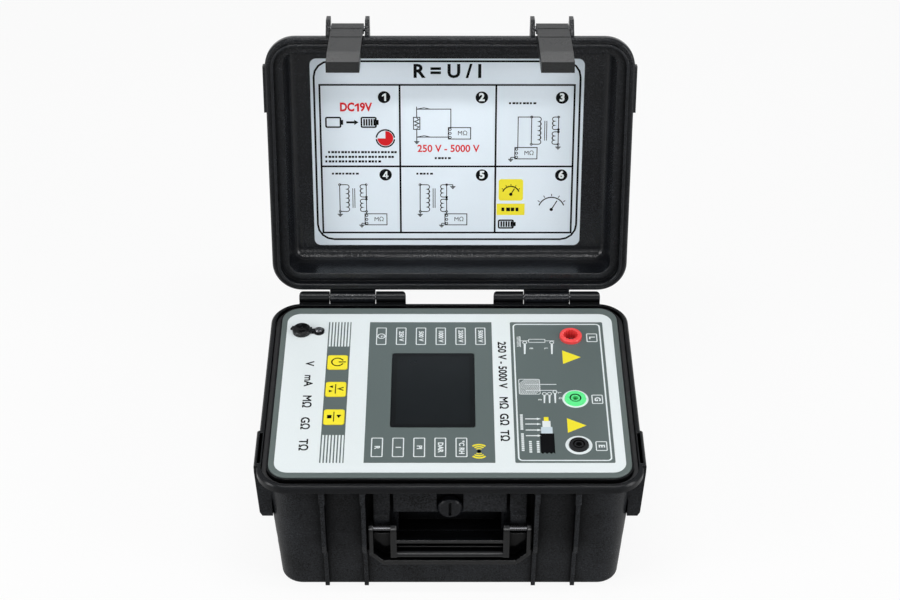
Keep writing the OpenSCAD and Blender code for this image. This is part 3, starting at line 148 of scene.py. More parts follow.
def moulded_plastic(name, dark, light, roughness, grain, lift, gloss=0.4, edge=0.0004, painted_shade_reach=0.0,
                    smooth_above=None):
    """Moulded plastic: fine noise of the grain's size lifts the surface, slow noise clouds shade and gloss.

    The normals are rounded over at edges, as the mould's own edges are. Where the piece's own walls
    stand closer than the painted shade's reach, the surface goes over into a near-black one: painted
    shade in recesses, corners and under overhangs. Above the height that is smooth there is no grain,
    and the shade is made deeper.
    """
    material, start, place = new_finish(name)
    pits = start.add("ShaderNodeTexNoise", Vector=place, Scale=1 / grain, Detail=2.0, Roughness=0.55)
    cloud = start.add("ShaderNodeTexNoise", Vector=place, Scale=24.0, Detail=4.0, Roughness=0.6)
    shade = blend_colours(start, 1.6 * (pits - 0.5) + cloud, dark, light)
    # Above the flange's foot: no grain, and a darker shade.
    if smooth_above is not None:
        smooth = axes(start, place)[2] > smooth_above
        shade = blend_colours(start, smooth, shade, toned(light, FLANGE_DARKER_SHARE))
        pits = pits + smooth * (POLISHED_LEVEL - pits)
    rounded = start.add("ShaderNodeBevel", {"samples": 4}, Radius=edge)
    relief = start.add("ShaderNodeBump", Distance=lift, Strength=1.0, Height=pits, Normal=rounded)
    skin = start.add("ShaderNodeBsdfPrincipled", Base_Color=shade, Normal=relief, Specular_IOR_Level=gloss,
                     Roughness=roughness + 0.16 * (cloud - 0.5) + 0.2 * (pits - 0.5))
    # Painted shade: an occlusion mask fades the skin into a near-black surface where the piece's own walls
    # crowd in.
    if painted_shade_reach:
        open_share = start.add("ShaderNodeAmbientOcclusion", {"only_local": True, "samples": 6},
                               output="AO", Distance=painted_shade_reach)
        dull = start.add("ShaderNodeBsdfPrincipled", Base_Color=PAINTED_SHADE_BLACK, Roughness=0.6,
                         Specular_IOR_Level=0.04)
        shown = start.add("ShaderNodeMapRange", Value=open_share, From_Min=HEMMED_IN, From_Max=WIDE_OPEN)
        skin = start.add("ShaderNodeMixShader", Fac=shown, n1=dull, n2=skin)
    start.add("ShaderNodeOutputMaterial", Surface=skin)
    return material


# Painted shade darkens the base's recess, its corners and the wall under the flange.
dress(moulded_plastic("base_plastic", dark=(0.0, 0.0, 0.0, 1), light=(0.0275, 0.03, 0.0345, 1),
                      roughness=0.22, grain=0.0012, lift=0.00012, gloss=0.22, edge=0.0015,
                      painted_shade_reach=0.035, smooth_above=FLANGE_FOOT), "base_shell")

# Rim seal: an extruded ring of black rubber that lies in the groove of the flange. The tongue of
# the lid presses into it.


def rubber(name, shade, roughness, crease=0.0):
    """Moulded rubber: dull, with a faint bloom that mottles its shade. A crease lays soft folds over it."""
    material, start, place = new_finish(name)
    bloom = start.add("ShaderNodeTexNoise", Vector=place, Scale=160.0, Detail=5.0, Roughness=0.65)
    skin = start.add("ShaderNodeTexNoise", Vector=place, Scale=2600.0, Detail=1.0)
    relief = start.add("ShaderNodeBump", Distance=0.00003, Strength=1.0, Height=skin)
    if crease:
        fold = start.add("ShaderNodeTexNoise", Vector=place, Scale=190.0, Detail=1.0)
        relief = start.add("ShaderNodeBump", Distance=crease, Strength=1.0, Height=fold, Normal=relief)
    close_finish(start, Base_Color=blend_colours(start, bloom, shade, toned(shade, 3)),
                 Roughness=roughness + 0.2 * (bloom - 0.5), Normal=relief, Specular_IOR_Level=0.35)
    return material


seal_rubber = rubber("seal_rubber", (0.016, 0.016, 0.017, 1), roughness=0.55)
dress(seal_rubber, "rim_gasket")

# Working parts under the panel: a glass-fibre circuit board on brass spacers, a shrink-wrapped
# battery under an aluminium strap, a potted high voltage block and a black sounder, all held by
# zinc-plated screws and nuts.


def turned_metal(name, shade, roughness, streak):
    """Bare metal: fine noise drawn out along Z gives the tool marks in its gloss."""
    material, start, place = new_finish(name)
    drawn = start.add("ShaderNodeMapping", Vector=place, Scale=(streak, streak, streak / 30))
    marks = start.add("ShaderNodeTexNoise", Vector=drawn, Scale=1.0, Detail=3.0)
    close_finish(start, Base_Color=blend_colours(start, marks, toned(shade, 0.75), shade), Metallic=1.0,
                 Roughness=roughness + 0.25 * (marks - 0.5))
    return material


dress(turned_metal("zinc_plated_steel", (0.62, 0.63, 0.65, 1), roughness=0.34, streak=5200.0),
      "panel_screws", "board_screws", "floor_screws", "socket_nuts", "jack_nut")
dress(turned_metal("turned_brass", (0.74, 0.55, 0.24, 1), roughness=0.28, streak=4200.0),
      "board_spacers", "jack_contact")
dress(turned_metal("strap_aluminium", (0.76, 0.77, 0.79, 1), roughness=0.38, streak=3000.0),
      "battery_strap")
dress(moulded_plastic("board_green", dark=(0.006, 0.075, 0.03, 1), light=(0.012, 0.13, 0.05, 1),
                      roughness=0.35, grain=0.0012, lift=0.00003), "main_board")
dress(moulded_plastic("battery_wrap", dark=(0.012, 0.05, 0.2, 1), light=(0.025, 0.08, 0.3, 1),
                      roughness=0.25, grain=0.004, lift=0.0001), "battery_pack")
dress(moulded_plastic("module_black", dark=(0.009, 0.009, 0.01, 1), light=(0.02, 0.02, 0.021, 1),
                      roughness=0.4, grain=0.0008, lift=0.00004),
      "high_voltage_module", "display_module", "key_switches")
# The sounder is far darker and duller than the module black: partly its own black, partly painted shade seen
# through the port.
dress(moulded_plastic("sounder_shaded_black", dark=(0.001, 0.001, 0.001, 1), light=(0.002, 0.002, 0.002, 1),
                      roughness=0.6, grain=0.0006, lift=0.00002, gloss=0.05), "sounder")

# Instrument panel: a flat plate with a satin grey face, let into the mouth of the case and held by
# screws under the overlay. Round the hole over the sounder, panel and overlay are painted black, as painted
# shade of the hole.
MM = 0.001
PORT, PORT_R = (20.5, -67.4), 1.6


def in_disc(x, y, centre, radius):
    """1 inside a circle: the squared distance from its centre is under the squared radius."""
    across = x - centre[0]
    along = y - centre[1]
    return across * across + along * along < radius * radius


def in_port(x, y):
    """1 inside the sounder's port, which is painted near-black as painted shade."""
    return in_disc(x, y, (PORT[0] * MM, PORT[1] * MM), PORT_R * MM)


panel_grey, start, place = new_finish("panel_grey")
x, y, _ = axes(start, place)
pits = start.add("ShaderNodeTexNoise", Vector=place, Scale=1100.0, Detail=2.0)
face_grey = blend_colours(start, pits, (0.103, 0.13, 0.125, 1), (0.133, 0.163, 0.158, 1))
relief = start.add("ShaderNodeBump", Distance=0.00002, Strength=1.0, Height=pits)
# Painted shade: the panel is painted near-black inside the sounder's port.
close_finish(start, Base_Color=blend_colours(start, in_port(x, y), face_grey, PAINTED_SHADE_BLACK),
             Roughness=0.4 + 0.2 * (pits - 0.5), Normal=relief, Specular_IOR_Level=0.3)
dress(panel_grey, "front_panel")

# Printed overlay: one polyester film, printed white from behind with three grey fields, a white
# frame line, stripes above and below the keys and white rings round two sockets, then stuck down.
FIELD_Y, FIELD_HALF = -0.00195, 0.07735
SCREEN_FIELD_X, SCREEN_FIELD_HALF = -0.0145, 0.0464
SOCKET_FIELD_X, SOCKET_FIELD_HALF = 0.0812, 0.0353
FRAME_INSET, FRAME_LINE = 0.002, 0.0011
KEY_STRIP_X, KEY_STRIP_HALF = -0.0836, 0.0086
STRIPE_START, STRIPE_STEP, STRIPE_GAP, STRIPES_FROM = -0.0922, 0.00234, 0.00102, 0.0487
GUARD_AXIS, EARTH_AXIS, RING_R = (0.0916, -0.0121), (0.0916, -0.0611), 0.0096


def in_field(x, y, centre, half, corner):
    """1 inside a rounded rectangle: the distance past its inner box, squared, is under the corner's."""
    over_x = x.math("MAXIMUM", abs(x - centre[0]) - (half[0] - corner), 0.0)
    over_y = y.math("MAXIMUM", abs(y - centre[1]) - (half[1] - corner), 0.0)
    return over_x * over_x + over_y * over_y < corner * corner


def in_socket_field(x, y, inset, corner):
    """1 inside the socket field, less an inset all round."""
    half = (SOCKET_FIELD_HALF - inset, FIELD_HALF - inset)
    return in_field(x, y, (SOCKET_FIELD_X, FIELD_Y), half, corner)


overlay_print, start, place = new_finish("overlay_print")
x, y, _ = axes(start, place)
screen_field = in_field(x, y, (SCREEN_FIELD_X, FIELD_Y), (SCREEN_FIELD_HALF, FIELD_HALF), 0.0004)
socket_field = in_socket_field(x, y, 0.0, 0.0012)
frame_outer = in_socket_field(x, y, FRAME_INSET, 0.0034)
frame_inner = in_socket_field(x, y, FRAME_INSET + FRAME_LINE, 0.0024)
key_strip = in_field(x, y, (KEY_STRIP_X, FIELD_Y), (KEY_STRIP_HALF, FIELD_HALF), 0.0002)
stripe_run = x.math("MODULO", x - STRIPE_START, STRIPE_STEP)
stripes = (stripe_run > STRIPE_GAP) * (abs(y - FIELD_Y) > STRIPES_FROM)
rings = in_disc(x, y, GUARD_AXIS, RING_R) + in_disc(x, y, EARTH_AXIS, RING_R)
white = frame_outer - frame_inner + rings
grey = screen_field + socket_field * (1 - white) + key_strip * (1 - stripes)
mottle = start.add("ShaderNodeTexNoise", Vector=place, Scale=1500.0, Detail=2.0)
film_white = blend_colours(start, mottle, (0.76, 0.82, 0.83, 1), (0.82, 0.875, 0.885, 1))
film_grey = blend_colours(start, mottle, (0.102, 0.131, 0.128, 1), (0.116, 0.147, 0.144, 1))
relief = start.add("ShaderNodeBump", Distance=0.00001, Strength=1.0, Height=mottle)
printed = blend_colours(start, grey, film_white, film_grey)
# Painted shade: the film is painted near-black inside the sounder's port.
close_finish(start, Base_Color=blend_colours(start, in_port(x, y), printed, PAINTED_SHADE_BLACK),
             Roughness=0.38 + 0.12 * (mottle - 0.5), Normal=relief, Specular_IOR_Level=0.4)
dress(overlay_print, "panel_overlay")

# Inks on the overlay: white legend boxes with their letters, the sounder's yellow waves, simple
# wiring pictures beside the sockets and dark unit marks on the white film, all screen printed.
# They are laid out in millimetres, with the panel's own X and Y.
INK = 0.05
SIDEWAYS = -90.0
CAPITAL, BOLD = 0.7, 0.05
LINE, FINE = 0.75, 0.5
BOX_STEP, BOX_CORNER = 15.0, 0.8
TOP_ROW, LOW_ROW = (-51.8, 58.8), (-51.9, -63.4)
CLOCK_R, HAND = 2.7, 0.65
SOCKET_LEGEND_X = 107.6


def outline_of_box(centre, size, corner, per_corner=5):
    """A rounded rectangle: four quarter circles about the corners of its inner box, anticlockwise."""
    angle = (np.arange(4)[:, None] * np.pi / 2 + np.linspace(0, np.pi / 2, per_corner)).ravel()
    inner = np.repeat([[1, 1], [-1, 1], [-1, -1], [1, -1]], per_corner, axis=0)
    turned = np.c_[np.cos(angle), np.sin(angle)]
    return np.array(centre) + inner * (np.array(size) / 2 - corner) + corner * turned


def arc(centre, radius, start_turn, end_turn, count=17):
    """Points of an arc between two angles in degrees."""
    angle = np.radians(np.linspace(start_turn, end_turn, count))
    return np.array(centre) + radius * np.c_[np.cos(angle), np.sin(angle)]


def patch(outline):
    """A closed film of ink: an outline carried straight up by the ink's thickness."""
    outline = np.asarray(outline, float)
    count = len(outline)
    points = np.r_[np.c_[outline, np.zeros(count)], np.c_[outline, np.full(count, INK)]]
    here = np.arange(count)
    after = np.roll(here, -1)
    walls = np.stack([here, after, after + count, here + count], 1)
    return points, [here[::-1].tolist(), (here + count).tolist()] + walls.tolist()


def band(outer, inner):
    """A closed film between two outlines of as many points: four loops joined round and round."""
    count = len(outer)
    low, high = np.zeros(count), np.full(count, INK)
    loops = [np.c_[outer, low], np.c_[outer, high], np.c_[inner, high], np.c_[inner, low]]
    here = np.arange(4 * count).reshape(4, count)
    beside = np.roll(here, -1, axis=1)
    faces = np.stack([here, beside, np.roll(beside, -1, axis=0), np.roll(here, -1, axis=0)], -1)
    return np.concatenate(loops), faces.reshape(-1, 4).tolist()


def line(points, width, closed=False):
    """A drawn line: its points pushed half a width to both sides, square to its run, mitred at bends."""
    path = np.asarray(points, float)
    run = np.diff(path, axis=0, append=path[:1])
    run = run if closed else run[:-1]
    run = run / np.linalg.norm(run, axis=1, keepdims=True)
    before = np.roll(run, 1, axis=0) if closed else np.r_[run[:1], run]
    after = run if closed else np.r_[run, run[-1:]]
    side = np.c_[-(before + after)[:, 1], (before + after)[:, 0]]
    square = np.c_[-after[:, 1], after[:, 0]]
    side = side * width / 2 / (side * square).sum(1, keepdims=True)
    if closed:
        return band(path - side, path + side)
    return patch(np.r_[path - side, (path + side)[::-1]])


def box_line(centre, size, corner, width):
    """A rounded rectangle drawn as a line, inside its size."""
    return band(outline_of_box(centre, size, corner),
                outline_of_box(centre, np.array(size) - 2 * width, max(corner - width, corner / 4)))


def arrow(tail, neck, tip, level, shaft, head):
    """An arrow to the right: a shaft from tail to neck, and a head from neck to tip, by half widths."""
    return patch([(tail, level - shaft), (neck, level - shaft), (neck, level - head), (tip, level),
                  (neck, level + head), (neck, level + shaft), (tail, level + shaft)])


def letters(text, height, centre, turn=0.0, weight=0.02, width=1.0):
    """Letters as a film: the built-in face's outlines, filled, set to height and width, turned and placed."""
    face = bpy.data.curves.new("letters", "FONT")
    face.body = text
    face.size = height / CAPITAL
    face.offset = weight * height
    face.align_x = "CENTER"
    face.align_y = "CENTER"
    face.extrude = INK / 2
    face.resolution_u = 3
    holder = bpy.data.objects.new("letters", face)
    mesh = bpy.data.meshes.new_from_object(holder)
    points = np.empty(3 * len(mesh.vertices))
    mesh.vertices.foreach_get("co", points)
    points = points.reshape(-1, 3)
    faces = [list(polygon.vertices) for polygon in mesh.polygons]
    cos, sin = np.cos(np.radians(turn)), np.sin(np.radians(turn))
    flat = points[:, :2] * (width, 1.0) @ np.array([[cos, sin], [-sin, cos]]) + np.array(centre)
    bpy.data.objects.remove(holder)
    bpy.data.meshes.remove(mesh)
    return np.c_[flat, points[:, 2] + INK / 2], faces


def heavier(film, spread):
    """A film made heavier: copies of it at the corners of a small square, each a hair above the last."""
    points, faces = film
    corners = ((-1, -1), (1, -1), (1, 1), (-1, 1))
    return [(points + (across * spread, along * spread, INK / 12 * i), faces)
            for i, (across, along) in enumerate(corners)]


def about(spot):
    """The place of a drawing in millimetres about a spot in metres, unturned."""
    place = np.diag([MM, MM, MM, 1.0])
    place[:3, 3] = spot
    return place


def new_piece(name, shells, material, place, body):
    """One new piece: its closed shells joined in one mesh, carried from millimetres to their place."""
    first = np.cumsum([0] + [len(points) for points, _ in shells])
    points = np.concatenate([points for points, _ in shells])
    faces = [[offset + corner for corner in face]
             for offset, (_, part) in zip(first, shells) for face in part]
    mesh = bpy.data.meshes.new(name)
    mesh.from_pydata((points @ place[:3, :3].T + place[:3, 3]).tolist(), [], faces)
    mesh.materials.append(material)
    piece = bpy.data.objects.new(name, mesh)
    bpy.context.scene.collection.objects.link(piece)
    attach(piece, body)


def ink_finish(name, shade, gloss=0.16):
    """Screen ink: satin, with the mottle of the mesh that it was pressed through."""
    material, start, place = new_finish(name)
    weave = start.add("ShaderNodeTexNoise", Vector=place, Scale=2200.0, Detail=1.0)
    close_finish(start, Base_Color=blend_colours(start, weave, toned(shade, 0.9), shade),
                 Roughness=0.46 + 0.15 * (weave - 0.5), Specular_IOR_Level=gloss)
    return material


white_ink = ink_finish("white_ink", (0.82, 0.87, 0.88, 1))
black_ink = ink_finish("black_ink", (0.004, 0.0043, 0.005, 1), gloss=0.06)
yellow_ink = ink_finish("yellow_ink", (0.93, 0.81, 0.04, 1))
pale_ink = ink_finish("pale_ink", (0.62, 0.72, 0.78, 1))

white_films = []
for row, box, height, legends in (
        (TOP_ROW, (7.8, 20.1), 3.4, ("", "250 V", "500 V", "1000 V", "2500 V", "5000 V")),
        (LOW_ROW, (8.4, 19.8), 3.6, ("R", "I", "PI", "DAR", "°C RH"))):
    for i, legend in enumerate(legends):
        centre = (row[0] + i * BOX_STEP, row[1])
        white_films.append(box_line(centre, box, BOX_CORNER, LINE))
        if legend:
            white_films.append(letters(legend, height, centre, SIDEWAYS, BOLD))
# The first box holds a clock: a ring with two hands.
white_films += [line(arc(TOP_ROW, CLOCK_R, 0, 345, 24), LINE, closed=True),
                line([(TOP_ROW[0] + 1.7, TOP_ROW[1]), TOP_ROW, (TOP_ROW[0], TOP_ROW[1] - 1.4)], HAND)]
for legend, socket_y in (("L", 57.0), ("G", -12.5), ("E", -62.1)):
    centre = (SOCKET_LEGEND_X, socket_y)
    white_films += [box_line(centre, (8.3, 9.8), 1.0, LINE), letters(legend, 4.2, centre, SIDEWAYS, BOLD)]

# Wiring pictures on the overlay, in thin white lines: a resistor between two probes, with one lead on
# a hatched wall, and the cut end of a cable, hatched too, with three probes on it.
WALL_X, LEAD_Y = 53.2, 53.4
HOOK_R, HOOK_LINE = 1.5, 0.6
CABLE_END_X, CABLE_END_Y, HATCH = (51.0, 66.0), (-6.8, 9.4), 0.42
LABEL_WEIGHT = 0.04


def probe(tip, tail, width):
    """A test probe seen from the side: a ring at its hook and a tapering grip below it."""
    tip, tail = np.array(tip), np.array(tail)
    hook = line(arc(tip, HOOK_R, 90, 435, 16), HOOK_LINE, closed=True)
    grip = [tip + (-width / 2, -HOOK_R), tail + (-width / 3, 0), tail + (width / 3, 0),
            tip + (width / 2, -HOOK_R)]
    return [hook, patch(grip)]


for foot_y in np.arange(46.8, 57.5, 1.5):
    white_films.append(line([(50.6, foot_y), (53.0, foot_y + 1.0)], 0.55))
white_films += [line([(WALL_X, 46.2), (WALL_X, 58.4)], 0.6),
                box_line((65.8, LEAD_Y), (12.8, 4.1), 0.6, FINE),
                line([(WALL_X, LEAD_Y), (59.6, LEAD_Y)], FINE), line([(72.0, LEAD_Y), (79.0, LEAD_Y)], FINE)]
for tip_x in (56.6, 77.0):
    white_films += probe((tip_x, 51.4), (tip_x - 0.4, 38.0), 1.7)
for label, label_x in (("E", 61.2), ("L", 72.4)):
    white_films.append(letters(label, 2.4, (label_x, 44.6), SIDEWAYS, LABEL_WEIGHT))
for slant in np.arange(-69.0, -45.0, 1.5):
    left = max(CABLE_END_X[0], CABLE_END_Y[0] - slant)
    right = min(CABLE_END_X[1], CABLE_END_Y[1] - slant)
    if right - left > 0.8:
        white_films.append(line([(left, left + slant), (right, right + slant)], HATCH))
white_films += [box_line((58.5, 1.3), (15.8, 17.0), 1.4, FINE),
                line([(55.5, 3.8), (78.4, 3.8)], 0.7), line([(55.5, -2.8), (78.2, -2.8)], 0.7)]
for tip, tail_x in (((69.2, -6.6), 68.8), ((72.9, -6.6), 72.6), ((77.0, -4.6), 76.8)):
    white_films += probe(tip, (tail_x, -16.6), 1.5)
for label, spot in (("E", (65.6, -13.0)), ("G", (80.6, -11.2)), ("L", (80.4, -5.4))):
    white_films.append(letters(label, 2.2, spot, SIDEWAYS, LABEL_WEIGHT))

# Cable picture on the overlay, with its layers cut back: a yellow conductor, white insulation, a pale
# screen and a torn black jacket. Arrows and columns of small plain blocks stand beside it.
CABLE_X, JACKET_HALF, JACKET_TOP, JACKET_END = 69.4, 5.1, -49.0, -69.4
BLOCK, BLOCK_STEP = (2.0, 1.5), 2.1
for column, high, low in ((51.6, -29.6, -45.0), (51.8, -49.6, -68.0),
                          (57.2, -57.6, -69.0), (62.6, -57.6, -69.0)):
    white_films += [patch(outline_of_box((column, level), BLOCK, 0.1, 2))
                    for level in np.arange(high, low, -BLOCK_STEP)]
white_films += [arrow(54.2, 62.6, 65.6, level, 0.5, 1.2) for level in (-33.6, -39.1, -45.4, -51.3)]
white_films.append(patch(outline_of_box((CABLE_X, -39.0), (5.9, 6.4), 0.2)))
torn = np.linspace(-JACKET_HALF, JACKET_HALF, 15)
jacket = np.r_[[(CABLE_X + JACKET_HALF, JACKET_TOP), (CABLE_X - JACKET_HALF, JACKET_TOP)],
               np.c_[CABLE_X + torn, JACKET_END + 0.7 * np.sin(2.1 * torn)]]
black_films = [patch(jacket)]
pale_films = [patch(outline_of_box((CABLE_X, -45.6), (8.2, 6.8), 0.2))]
yellow_films = [patch(outline_of_box((CABLE_X, -33.8), (3.4, 4.2), 0.2))]

# Yellow and black marks on the overlay: a plain pointer beside two of the sockets, waves on both
# sides of the sounder's port, and the range and the units in heavy letters on the white film.
POINTER = np.array([(98.0, 0.0), (84.4, 7.7), (84.4, -7.7)])
WAVE_REACH = 42
yellow_films += [patch(POINTER + (0, pointer_y)) for pointer_y in (34.5, -40.6)]
for radius, width in ((2.7, 0.9), (4.7, 1.2), (6.8, 1.4)):
    for heading in (90, 270):
        yellow_films.append(line(arc(PORT, radius, heading - WAVE_REACH, heading + WAVE_REACH), width))
for units, height, spot, spread in (("250 V - 5000 V    MΩ  GΩ  TΩ", 6.0, (38.9, -2.4), 0.18),
                                    ("V    mA    MΩ    GΩ    TΩ", 6.2, (-104.6, -18.6), 0.17)):
    black_films += heavier(letters(units, height, spot, SIDEWAYS, weight=0.0), spread)

panel_place = about((0, 0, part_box("panel_overlay")[1][2]))
for name, films, material in (("panel_white_print", white_films, white_ink),
                              ("panel_black_print", black_films, black_ink),
                              ("panel_pale_print", pale_films, pale_ink),
                              ("panel_yellow_print", yellow_films, yellow_ink)):
    new_piece(name, films, material, panel_place, "base")

# Display window: black tinted acrylic with a matt front, flush with the overlay. The lit area of
# the screen behind it is a trace bluer than its border.
SCREEN_MIDDLE, SCREEN_HALF = (-0.0124, -0.0018), (0.0268, 0.0372)
BORDER_BLACK, SCREEN_BLACK = (0.0042, 0.0052, 0.006, 1), (0.007, 0.009, 0.0105, 1)
display_tint, start, place = new_finish("display_tint")
x, y, _ = axes(start, place)
lit = in_field(x, y, SCREEN_MIDDLE, SCREEN_HALF, 0.0006)
haze = start.add("ShaderNodeTexNoise", Vector=place, Scale=60.0, Detail=3.0)
close_finish(start, Base_Color=blend_colours(start, lit, BORDER_BLACK, SCREEN_BLACK),
             Roughness=0.3 + 0.1 * (haze - 0.5), Specular_IOR_Level=0.2)
dress(display_tint, "display_window")

# Keys: three caps moulded in yellow plastic, each with its own black mark. A flange behind the panel
# keeps a cap in its hole, and the switch below springs it back.
dress(moulded_plastic("key_yellow", dark=(0.93, 0.79, 0.025, 1), light=(0.98, 0.85, 0.04, 1),
                      roughness=0.36, grain=0.0007, lift=0.00001), "power_key", "voltage_key", "start_key")
divider = line([(-0.2, -5.2), (-0.2, 5.2)], 0.7)
key_marks = {
    "power_key": [line(arc((0, 0), 4.3, 22, 338, 33), 1.0), line([(0.8, 0), (6.2, 0)], 1.0)],
    "voltage_key": [letters("V", 4.2, (3.2, 0), SIDEWAYS, BOLD), divider,
                    patch([(-2.2, 3.8), (-5.0, 2.4), (-2.2, 1.0)]),
                    patch([(-5.0, -3.8), (-2.2, -2.4), (-5.0, -1.0)])],
    "start_key": [patch([(5.2, 1.9), (1.6, 1.9), (3.4, -1.7)]), divider,
                  patch(outline_of_box((-3.4, 0), (3.2, 3.6), 0.2))],
}
for key, films in key_marks.items():
    low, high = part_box(key)
    top = ((low[0] + high[0]) / 2, (low[1] + high[1]) / 2, high[2])
    new_piece(key + "_mark", films, black_ink, about(top), key)

# Sockets: glossy moulded bodies in red, green and black, put through the panel from the front and
# held by nuts behind it. Each has a nickel contact in its bore, painted far darker than nickel as painted
# shade of the bore.
SLEEVE_OUTER, SLEEVE_INNER = 0.0044, 0.0033


def glossy_plastic(name, shade, roughness, gloss=0.5, axis=(0, 0)):
    """Polished moulded plastic: slow noise bends its gloss a little, as cooling does.

    A ring round the axis, where the plug goes in, is painted darker: painted shade in the groove there.
    """
    material, start, place = new_finish(name)
    x, y, _ = axes(start, place)
    flow = start.add("ShaderNodeTexNoise", Vector=place, Scale=220.0, Detail=3.0)
    groove_shade = in_disc(x, y, axis, SLEEVE_OUTER) - in_disc(x, y, axis, SLEEVE_INNER)
    body = blend_colours(start, flow, toned(shade, 0.92), shade)
    relief = start.add("ShaderNodeBump", Distance=0.00002, Strength=0.6, Height=flow)
    # Painted shade: the groove ring takes an eighth of the body's shade.
    close_finish(start, Base_Color=blend_colours(start, groove_shade, body, toned(shade, 0.12)),
                 Roughness=roughness + 0.12 * (flow - 0.5), Normal=relief, Specular_IOR_Level=gloss)
    return material


dress(glossy_plastic("socket_red", (0.98, 0.075, 0.075, 1), roughness=0.22), "line_socket")
dress(glossy_plastic("socket_green", (0.14, 0.95, 0.31, 1), roughness=0.3, axis=GUARD_AXIS), "guard_socket")
socket_black = glossy_plastic("socket_black", (0.016, 0.0162, 0.018, 1), roughness=0.2, gloss=0.34,
                              axis=EARTH_AXIS)
dress(socket_black, "earth_socket")
# Painted shade: the contacts take a dark grey for the shade deep in their bores.
dress(turned_metal("nickel_bore_shade", (0.16, 0.16, 0.165, 1), roughness=0.34, streak=4200.0),
      "line_contact", "guard_contact", "earth_contact")

# Charging inlet: a black barrel socket, held by a nut behind the panel. Its dust cap of creased black
# rubber hangs on a tether that one blackened screw holds to the panel.
dress(socket_black, "charging_jack")
dress(rubber("cap_rubber", (0.0013, 0.0013, 0.0015, 1), roughness=0.24, crease=0.0022),
      "dust_cap", "cap_tether")
blackened_steel = turned_metal("blackened_steel", (0.2, 0.2, 0.21, 1), roughness=0.24, streak=4000.0)
dress(blackened_steel, "tether_screw")

# Pressure valve: a grained black knob on a stem through the wall of the recess. The stem's flange
# sits on a rubber seal, and a nut inside the case holds it.
# Painted shade darkens the knob's own recesses.
dress(moulded_plastic("case_plastic", dark=(0.001, 0.00115, 0.0016, 1), light=(0.012, 0.0136, 0.0172, 1),
                      roughness=0.2, grain=0.0011, lift=0.00005, gloss=0.34, edge=0.0015,
                      painted_shade_reach=0.03), "valve_knob")
dress(socket_black, "valve_stem", "valve_nut")
dress(seal_rubber, "valve_seal")

# Carry handle: one glossy black moulding with hardly any grain, which folds into the recess of the
# base on two blackened steel pins.
# Painted shade darkens the handle's inner corners.
dress(moulded_plastic("handle_plastic", dark=(0.0004, 0.00045, 0.0006, 1), light=(0.004, 0.0045, 0.0056, 1),
                      roughness=0.12, grain=0.0011, lift=0.00002, gloss=0.68, edge=0.0015,
                      painted_shade_reach=0.03), "carry_handle")
dress(blackened_steel, "handle_pins")

# Lid: a shallow tray, moulded in grained black plastic with its tongue and its ears for the latches.
# It hangs on two three-part hinges with blackened steel pins.
# Painted shade darkens the lid's inner corners a little.
dress(moulded_plastic("lid_plastic", dark=(0.001, 0.00115, 0.0016, 1), light=(0.012, 0.0136, 0.0172, 1),
                      roughness=0.18, grain=0.0013, lift=0.00012, gloss=0.36, edge=0.0015,
                      painted_shade_reach=0.006), "lid_shell")
dress(blackened_steel, "hinge_pins")

# Latches: two long levers in a smoother charcoal plastic, which swing on blackened steel pins in the
# front edge of the lid. Two low half-round ribs are moulded across each, for the thumb; each rib
# stands on the lever's skin, which runs straight between the three points of Y and Z given here.
LATCH_X, LATCH_HALF = 75.55, 11.0
RIB_R, RIB_SINK = 0.7, 0.35
FACE_LOW, FACE_MID, FACE_HIGH = np.array([(112.19, 335.25), (153.28, 325.52), (175.95, 319.65)])
RIB_FEET = ((FACE_LOW, FACE_MID, 0.78), (FACE_MID, FACE_HIGH, 0.5))
latch_plastic = moulded_plastic("latch_plastic", dark=(0.006, 0.0062, 0.0066, 1),
                                light=(0.012, 0.0124, 0.013, 1), roughness=0.3, grain=0.0006,
                                lift=0.00002, gloss=0.15, edge=0.0006)
dress(latch_plastic, "left_latch", "right_latch")
dress(blackened_steel, "latch_pins")


def half_round(middle, near, far, share):
    """A low rib: half a circle about a sunk foot between two points, carried across and closed."""
    run = (far - near) / np.linalg.norm(far - near)
    rise = np.array([-run[1], run[0]])
    turn = np.linspace(0, np.pi, 11)
    foot = near + share * (far - near) - RIB_SINK * rise
    profile = foot + RIB_R * (np.cos(turn)[:, None] * run + np.sin(turn)[:, None] * rise)
    count = len(profile)
    ends = [np.c_[np.full(count, end), profile] for end in (middle - LATCH_HALF, middle + LATCH_HALF)]
    here = np.arange(count)
    after = np.roll(here, -1)
    walls = np.stack([here, after, after + count, here + count], 1)
    return np.concatenate(ends), walls.tolist() + [here[::-1].tolist(), (here + count).tolist()]


for latch, middle in (("left_latch", -LATCH_X), ("right_latch", LATCH_X)):
    ribs = [half_round(middle, *foot) for foot in RIB_FEET]
    new_piece(latch + "_ribs", ribs, latch_plastic, about((0, 0, 0)), latch)

# Instruction sheet: a stiff, pale film with a face like paper, printed and stuck flat into the lid by
# its own adhesive. Its print is a framed table of six numbered pictures, laid out in millimetres
# about the sheet's middle and then tilted with the open lid.
SHEET_T = 0.4
PRINT_SCALE, PRINT_SHIFT = (1.018, 1.016, 1.0), (2.2, 1.15, SHEET_T / 2)
TABLE_X, TABLE_Y = (-97.9, -37.6, 34.4, 93.5), (-66.4, -11.3, 54.2)
RULE, WIRE, TERMINAL = 1.4, 0.65, 0.55
BADGES = ((-49.2, 43.9), (23.7, 43.7), (83.6, 43.5), (-48.8, -18.1), (24.3, -18.4), (84.4, -18.4))
BADGE_R, DIGIT = 4.7, 5.8
sheet_paper, start, place = new_finish("sheet_paper")
fibre = start.add("ShaderNodeTexNoise", Vector=place, Scale=900.0, Detail=4.0, Roughness=0.7)
wave = start.add("ShaderNodeTexNoise", Vector=place, Scale=14.0, Detail=2.0)
relief = start.add("ShaderNodeBump", Distance=0.0006, Strength=0.25, Height=wave)
